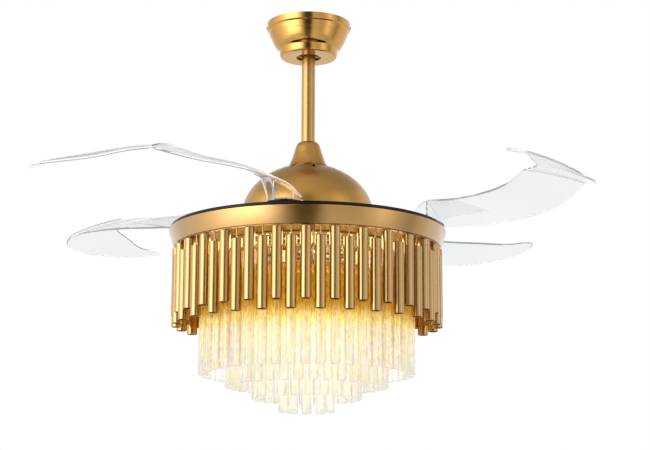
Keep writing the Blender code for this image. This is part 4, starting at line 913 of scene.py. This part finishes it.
def add_sheet(bm):
    """The clear sheet with a rounded rim, tip and raised crease. The rim takes the second material."""
    outer, inner = blade_lines()
    layers = []
    for side in (0, 1):
        rows = []
        for station, (first, second) in enumerate(zip(outer, inner)):
            into_tip = max(0, station - (BLADE_STATIONS - 1 - TIP_STATIONS)) / TIP_STATIONS
            squeeze = (1 - max(TIP_END_SHARE, math.sqrt(1 - into_tip ** 2))) / 2
            first, second = first.lerp(second, squeeze), second.lerp(first, squeeze)
            ridge = CREASE_HEIGHT if station == PANEL_STATIONS - 1 else 0
            row = []
            for strip in range(BLADE_STRIPS + 1):
                place = sheet_point(first, second, strip / BLADE_STRIPS, side)
                row.append(bm.verts.new(place + Vector((0, 0, ridge))))
            rows.append(row)
        layers.append(rows)
        add_grid(bm, rows)
    low, high = (grid_rim(rows) for rows in layers)
    middles = []
    bulge = BLADE_THICKNESS * RIM_BULGE_SHARE
    for index, (under, over) in enumerate(zip(low, high)):
        along = low[(index + 1) % len(low)].co - low[index - 1].co
        out = along.cross(Vector((0, 0, 1))).normalized()
        middles.append(bm.verts.new((under.co + over.co) / 2 + out * bulge))
    join_loops(bm, (low, middles, high), slot=1)


def add_rib(bm):
    """The upright web under the sheet's root."""
    outer, inner = blade_lines()
    along = (inner[0].xy - outer[0].xy).normalized()
    across = Vector((-along.y, along.x, 0)) * RIB_THICKNESS / 2
    rows = []
    for step in range(RIB_STEPS + 1):
        share = RIB_START_SHARE + (RIB_END_SHARE - RIB_START_SHARE) * step / RIB_STEPS
        top = sheet_point(outer[0], inner[0], share, 1 / 2)
        low = Vector((top.x, top.y, FOOT_THICKNESS / 2))
        corners = (low - across, low + across, top + across, top - across)
        rows.append([bm.verts.new(place) for place in corners])
    add_loft(bm, rows)


def along_line(line, share):
    """The place at a share of the way along a line of points."""
    place = share * (len(line) - 1)
    index = int(place)
    return line[index].lerp(line[index + 1], place - index)


def hood_lines():
    """The hood's lines from the foot's rim up to the sheet, along its inner edge and then across it."""
    outer, inner = blade_lines()
    lines = []
    for column in range(HOOD_COLUMNS):
        turn = column / (HOOD_COLUMNS - 1)
        angle = HOOD_START + (HOOD_END - HOOD_START) * turn
        rim = FOOT_RADIUS - HOOD_WALL / 2
        foot = Vector((rim * math.cos(angle), rim * math.sin(angle), FOOT_THICKNESS / 2))
        on_edge = min(1.0, 2 * turn)
        across = max(0.0, 2 * turn - 1)
        reach = HOOD_EDGE_REACH_SHARE * on_edge + (HOOD_REACH_SHARE - HOOD_EDGE_REACH_SHARE) * across
        share = HOOD_CORNER_SHARE - HOOD_SPREAD_SHARE * across
        top = sheet_point(along_line(outer, reach), along_line(inner, reach), share, 1 / 2)
        bend = foot.lerp(top, HOOD_FLARE_SHARE)
        bend.z = top.z * HOOD_RISE_SHARE
        line = []
        for row in range(HOOD_ROWS):
            rise = row / (HOOD_ROWS - 1)
            line.append((1 - rise) ** 2 * foot + 2 * rise * (1 - rise) * bend + rise ** 2 * top)
        lines.append(line)
    return lines


def add_hood(bm):
    """The wall that rises from the foot's rim and leans over into the sheet."""
    lines = hood_lines()
    rows = list(zip(*lines))

    def slope(places, index):
        return places[min(index + 1, len(places) - 1)] - places[max(index - 1, 0)]

    layers = []
    for shift in (HOOD_WALL / 2, -HOOD_WALL / 2):
        layer = []
        for column, line in enumerate(lines):
            normals = [slope(rows[row], column).cross(slope(line, row)).normalized()
                       for row in range(HOOD_ROWS)]
            layer.append([bm.verts.new(point + normal * shift) for point, normal in zip(line, normals)])
        layers.append(layer)
        add_grid(bm, layer)
    join_loops(bm, [grid_rim(layer) for layer in layers], slot=1)


def blade_mesh():
    """One blade in its own frame, x pointing away from the fan's axis."""
    bm = bmesh.new()
    add_sheet(bm)
    foot = section(SCREW_BORE, FOOT_RADIUS, 0, FOOT_THICKNESS)
    add_turned(bm, fillet(foot, EDGE_ROUNDING, closed=True), HUB_SIDES)
    add_rib(bm)
    add_hood(bm)
    piece = object_from("blade_pattern", bm, sheet_plastic, crease=BLADE_SHARP_ANGLE)
    piece.data.materials.append(edge_plastic)
    mesh = piece.data
    bpy.data.objects.remove(piece)
    return mesh


# Lamp body

def band_piece():
    low = band_low.z
    inner = BAND_BOTTOM_RADIUS - BAND_WALL
    slope = BAND_TAPER / (BAND_TOP - low)
    outline = (
        (inner - BAND_LIP, low),
        (BAND_BOTTOM_RADIUS, low),
        (BAND_TOP_RADIUS, BAND_TOP),
        (BAND_TOP_RADIUS - BAND_WALL, BAND_TOP),
        (inner + slope * BAND_WALL, low + BAND_WALL),
        (inner - BAND_LIP, low + BAND_WALL),
    )
    return lathe("band", fillet(outline, BAND_EDGE, closed=True), BAND_SIDES, gold)


def skirt_pieces():
    """The hanging tubes, and the pins and ring that carry them."""
    tubes = bmesh.new()
    carrier = bmesh.new()
    ring_low = skirt_high.z - HOOK_RING_THICKNESS
    half = HOOK_RING_WIDTH / 2
    ring = section(TUBE_PLACE - half, TUBE_PLACE + half, ring_low, skirt_high.z)
    add_turned(carrier, fillet(ring, HOOK_RING_ROUNDING, closed=True), DOME_SIDES)
    for index, place in enumerate(places_round(2 * TUBE_PAIRS, -math.pi / 2, TUBE_PLACE)):
        top = ring_low - TUBE_HANG - (TUBE_STAGGER if index % 2 else 0)
        bottom = top - TUBE_LENGTH
        inner = TUBE_RADIUS - TUBE_WALL
        outline = [(0, top), (TUBE_RADIUS - TUBE_EDGE, top), (TUBE_RADIUS, top - TUBE_EDGE),
                   (TUBE_RADIUS, bottom + TUBE_EDGE / 2), (TUBE_RADIUS - TUBE_EDGE / 2, bottom),
                   (inner, bottom), (inner, top - TUBE_WALL), (0, top - TUBE_WALL)]
        add_turned(tubes, outline, SMALL_SIDES, place, closed=False)
        pin = (section(0, HOOK_HEAD_RADIUS, top - TUBE_WALL / 2, top + HOOK_HEAD_HEIGHT)[:3]
               + section(0, HOOK_RADIUS, top + HOOK_HEAD_HEIGHT, ring_low + HOOK_SINK)[1:])
        add_turned(carrier, pin, PIN_SIDES, place, closed=False)
    return object_from("tubes", tubes, tube_gold), object_from("tube_hooks", carrier, tube_gold)


def tier_radius(tier):
    return OUTER_TIER_RADIUS - TIER_STEP * tier


def add_crystal(bm, matrix, low, high, turn):
    """A fluted rod with chamfered ends."""
    steps = CRYSTAL_FLUTES * STEPS_IN_FLUTE
    levels = ((low, -CRYSTAL_CHAMFER), (low + CRYSTAL_CHAMFER, 0),
              (high - CRYSTAL_CHAMFER, 0), (high, -CRYSTAL_CHAMFER))
    rings = []
    for level, inset in levels:
        ring = []
        for step in range(steps):
            angle = FULL_TURN * step / steps
            dip = CRYSTAL_FLUTE_DEPTH * (0.5 - 0.5 * math.cos(CRYSTAL_FLUTES * angle))
            radius = CRYSTAL_RADIUS + inset - dip
            ring.append(bm.verts.new(matrix @ Vector((radius * math.cos(angle + turn),
                                                      radius * math.sin(angle + turn), level))))
        rings.append(ring)
    add_loft(bm, rings)


def tier_pieces(tier):
    """A tier's glass rods, and the flat ring and threaded rods that carry them."""
    low = tier_boxes[tier][0].z
    ring_low = low + CRYSTAL_LENGTH
    ring_high = ring_low + TIER_RING_THICKNESS
    middle = tier_radius(tier)
    count = TIER_COUNTS[tier]
    start = math.pi / 2 + FULL_TURN * TIER_TURN_SHARES[tier] / count
    glass = bmesh.new()
    for index, place in enumerate(places_round(count, start, middle)):
        add_crystal(glass, place, low, ring_low - GAP, index * CRYSTAL_TURN)
    carrier = bmesh.new()
    half = TIER_RING_WIDTH / 2
    ring = section(middle - half, middle + half, ring_low, ring_high)
    add_turned(carrier, fillet(ring, SHARP_ROUNDING, closed=True), RING_SIDES)
    rod = section(0, STANDOFF_RADIUS, ring_high - SINK, plate_low.z - GAP)
    nut = section(0, NUT_RADIUS, ring_high, ring_high + NUT_HEIGHT)
    for place in places_round(STANDOFF_COUNT, STANDOFF_PHASE, middle):
        add_turned(carrier, rod, PIN_SIDES, place, closed=False)
        add_turned(carrier, nut, NUT_SIDES, place, closed=False)
    number = tier + 1
    return (object_from(f"crystals_{number}", glass, crystal, crease=CRYSTAL_SHARP_ANGLE),
            object_from(f"tier_ring_{number}", carrier, tube_gold))


def board_pieces():
    """The lamp board's rings and arms, and the chips under them."""
    board = bmesh.new()
    chips = bmesh.new()
    middles = [tier_radius(tier) - TIER_STEP / 2 for tier in range(len(TIER_COUNTS) - 1)]
    half = BOARD_WIDTH / 2
    low, high = board_low.z, board_high.z
    size = CHIP_SIZE / 2
    for middle in middles:
        add_turned(board, section(middle - half, middle + half, low, high), RING_SIDES)
        for place in places_round(int(FULL_TURN * middle / CHIP_PITCH), radius=middle):
            add_box(chips, (-size, -size, low - CHIP_HEIGHT), (size, size, low - CHIP_GAP), place)
    width = BOARD_ARM_WIDTH / 2
    for place in places_round(BOARD_ARM_COUNT, math.pi / BOARD_ARM_COUNT):
        for outer, inner in zip(middles, middles[1:]):
            add_box(board, (inner + half, -width, low + SINK), (outer - half, width, high - SINK), place)
    return object_from("lamp_board_rings", board, lamp_board), object_from("lamp_chips", chips, chip)


# Put together

def dress(piece, body, slot, *nodes):
    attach(piece, body)
    if nodes:
        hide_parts(*nodes)
    return piece


dress(canopy_piece(), "hanger", "polished_gold", "canopy")
dress(liner_piece(), "liner", "rubber", "ball_liner")
dress(ball_piece(), "fan", "rubber", "hanger_ball")
dress(rod_piece(), "fan", "brushed_gold", "downrod")
dress(cover_piece(), "fan", "brushed_gold", "coupling_cover")
dress(dome_piece(), "fan", "brushed_gold", "motor_dome")
dress(crown_bead(), "fan", "brushed_gold")
dress(band_piece(), "fan", "brushed_gold", "trim_band")
dress(disc_piece(), "rotor", "black_gloss", "carrier_disc")
tubes, hooks = skirt_pieces()
dress(tubes, "fan", "anodised_gold", "tube_skirt")
dress(hooks, "fan", "anodised_gold", "tube_skirt")
for tier in range(len(TIER_COUNTS)):
    glass, carrier = tier_pieces(tier)
    dress(glass, "fan", "crystal", f"crystal_tier_{tier + 1}")
    dress(carrier, "fan", "anodised_gold", f"crystal_tier_{tier + 1}")
board, chips = board_pieces()
dress(board, "fan", "lamp_board", "led_board")
dress(chips, "fan", "lamp_board", "led_board")

pattern = blade_mesh()
for number in BLADE_NUMBERS:
    x, y, _ = joints[f"blade_fold_{number}"]["pos_m"]
    turn = math.atan2(y, x)
    blade = linked(f"clear_blade_{number}", pattern.copy())
    blade.data.transform(Matrix.Translation((x, y, blade_low.z)) @ Matrix.Rotation(turn, 4, "Z"))
    dress(blade, f"blade_arm_{number}", "clear_plastic", f"blade_{number}")
    dress(hub_piece(f"hub_{number}", x, y), f"blade_arm_{number}", "black_gloss", f"blade_hub_{number}")
    above = blade_low.z + FOOT_THICKNESS + GAP
    head = Matrix.Translation((x, y, above)) @ Matrix.Rotation(turn + PIVOT_SCREW_TURN, 4, "Z")
    one = cross_screw(f"pivot_screw_{number}", head, PIVOT_SCREW_HEAD_RADIUS, PIVOT_SCREW_HEAD,
                      PIVOT_SCREW_RADIUS, PIVOT_SCREW_LENGTH, steel)
    dress(one, f"blade_arm_{number}", "hanger_steel", f"blade_screw_{number}")

for number, side in ((1, 1), (2, -1)):
    low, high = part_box(f"canopy_screw_{number}")
    face = (canopy_high.x + GAP) * side
    head = Matrix.Translation((face, 0, (low.z + high.z) / 2)) @ Matrix.Rotation(side * math.pi / 2, 4, "Y")
    length = high.x - low.x - CANOPY_SCREW_HEAD
    one = cross_screw(f"canopy_fixing_{number}", head, CANOPY_SCREW_HEAD_RADIUS, CANOPY_SCREW_HEAD,
                      CANOPY_SCREW_RADIUS, length, canopy_gold)
    dress(one, "hanger", "polished_gold", f"canopy_screw_{number}")

FINISH_OF_SLOT = {
    "hanger_steel": steel, "polished_gold": canopy_gold, "brushed_gold": gold, "anodised_gold": tube_gold,
    "nylon": nylon, "rubber": rubber, "iron": iron, "copper": copper, "lamp_board": lamp_board,
    "crystal": crystal, "ferrite": ferrite, "black_gloss": black, "clear_plastic": sheet_plastic,
}
for entry in frame["record"]["subparts"]:
    node = frame["nodes"][entry["node"]]
    node.data.materials.clear()
    node.data.materials.append(FINISH_OF_SLOT[entry["material_slot"]])


# Studio

def plain_floor():
    bm = bmesh.new()
    corners = ((-1, -1), (1, -1), (1, 1), (-1, 1))
    bm.faces.new([bm.verts.new((x * FLOOR_SIZE, y * FLOOR_SIZE, FLOOR_LEVEL)) for x, y in corners])
    finish = Finish("pale_floor", (0.90, 0.90, 0.90), 0.7)
    finish.shaded(finish.noise(3), 0.01)
    floor = object_from("floor", bm, finish.material)


def light_tent():
    """A glowing sphere that only reflections show: its level follows the azimuth from the camera's side."""
    bm = bmesh.new()
    place = Matrix.Translation((0, 0, TENT_LEVEL))
    bmesh.ops.create_uvsphere(bm, u_segments=TENT_SEGMENTS, v_segments=TENT_RINGS, radius=TENT_RADIUS,
                              matrix=place)
    material = bpy.data.materials.new("light_tent")
    nodes = Nodes(material, empty=True)
    x, y, z = nodes.separated()
    azimuth = nodes.calculated("ARCTAN2", x, nodes.calculated("MULTIPLY", y, -1))
    around = nodes.ranged(azimuth, 0.0, 1.0, -math.pi, math.pi)
    height = nodes.calculated("DIVIDE", nodes.calculated("SUBTRACT", z, TENT_LEVEL), TENT_RADIUS)

    def seen(levels, most):
        """The level that a table gives at each azimuth. None of its levels is above the most."""
        stops = [((place + 180) / 360, (level / most,) * 3) for place, level in levels]
        return nodes.calculated("MULTIPLY", nodes.ramp(around, stops), most)

    def risen(first, second, start, end):
        """The first level below the start's elevation, and the second above the end's."""
        rise = nodes.ranged(height, 0.0, 1.0, math.sin(start), math.sin(end), kind="SMOOTHSTEP")
        return nodes.joined("ShaderNodeMix", "Result", Factor=rise, A=first, B=second)

    low_level, level = seen(TENT_LOW_LEVELS, TENT_MOST), seen(TENT_LEVELS, TENT_MOST)
    level = risen(low_level, level, TENT_LOW_START, TENT_LOW_END)
    level = risen(level, seen(TENT_TOP_LEVELS, 1), TENT_TOP_START, TENT_TOP_END)
    glow = nodes.joined("ShaderNodeEmission", "Emission", Strength=level)
    nodes.link(glow, nodes.node("ShaderNodeOutputMaterial").inputs["Surface"])
    material.cycles.emission_sampling = "NONE"
    tent = object_from("light_tent", bm, material)
    tent.visible_camera = False
    tent.visible_transmission = False
    tent.visible_diffuse = False
    tent.visible_shadow = False


def softbox(name, place, size, power):
    data = bpy.data.lights.new(name, "AREA")
    data.shape = "RECTANGLE"
    data.size, data.size_y = size
    data.energy = power
    lamp = linked(name, data)
    lamp.visible_glossy = False
    lamp.location = place
    lamp.rotation_euler = (Vector(LIGHT_AIM) - Vector(place)).to_track_quat("-Z", "Y").to_euler()


def lamp_light():
    """The light of the lamp board, thrown down between its chips. Only the chips themselves are seen."""
    data = bpy.data.lights.new("lamp_light", "AREA")
    data.shape = "DISK"
    data.size = 2 * tier_radius(0)
    data.energy = LAMP_POWER
    data.color = LAMP_COLOUR
    lamp = linked("lamp_light", data)
    lamp.location = (0, 0, board_low.z - 2 * CHIP_HEIGHT)
    lamp.visible_camera = False
    lamp.visible_transmission = False


def white_world():
    """White behind the object and in its reflections, and a softer level for the light it gives."""
    world = bpy.data.worlds.new("studio")
    bpy.context.scene.world = world
    nodes = Nodes(world, empty=True)
    paths = nodes.node("ShaderNodeLightPath")
    seen = nodes.calculated("MAXIMUM", paths.outputs["Is Camera Ray"], paths.outputs["Is Glossy Ray"])
    seen = nodes.calculated("MAXIMUM", seen, paths.outputs["Is Transmission Ray"])
    background = nodes.node("ShaderNodeBackground")
    background.inputs["Color"].default_value = (1, 1, 1, 1)
    nodes.link(nodes.ranged(seen, WORLD_LIGHT, 1.0), background.inputs["Strength"])
    output = nodes.node("ShaderNodeOutputWorld").inputs["Surface"]
    nodes.link(background.outputs["Background"], output)


def photo_camera():
    data = bpy.data.cameras.new("photo_camera")
    data.sensor_width = SENSOR_WIDTH
    data.lens = SENSOR_WIDTH * FOCAL_PIXELS / FRAME_WIDTH
    data.clip_start = CAMERA_NEAR
    data.clip_end = CAMERA_FAR
    camera = linked("photo_camera", data)
    aim = Matrix.Rotation(math.pi / 2 + CAMERA_PITCH, 4, "X") @ Matrix.Rotation(CAMERA_ROLL, 4, "Z")
    camera.matrix_world = Matrix.Translation(CAMERA_PLACE) @ aim
    bpy.context.scene.camera = camera


plain_floor()
light_tent()
softbox("key", *KEY_LIGHT)
softbox("fill", *FILL_LIGHT)
lamp_light()
white_world()
photo_camera()
bpy.context.scene.view_settings.view_transform = "Standard"
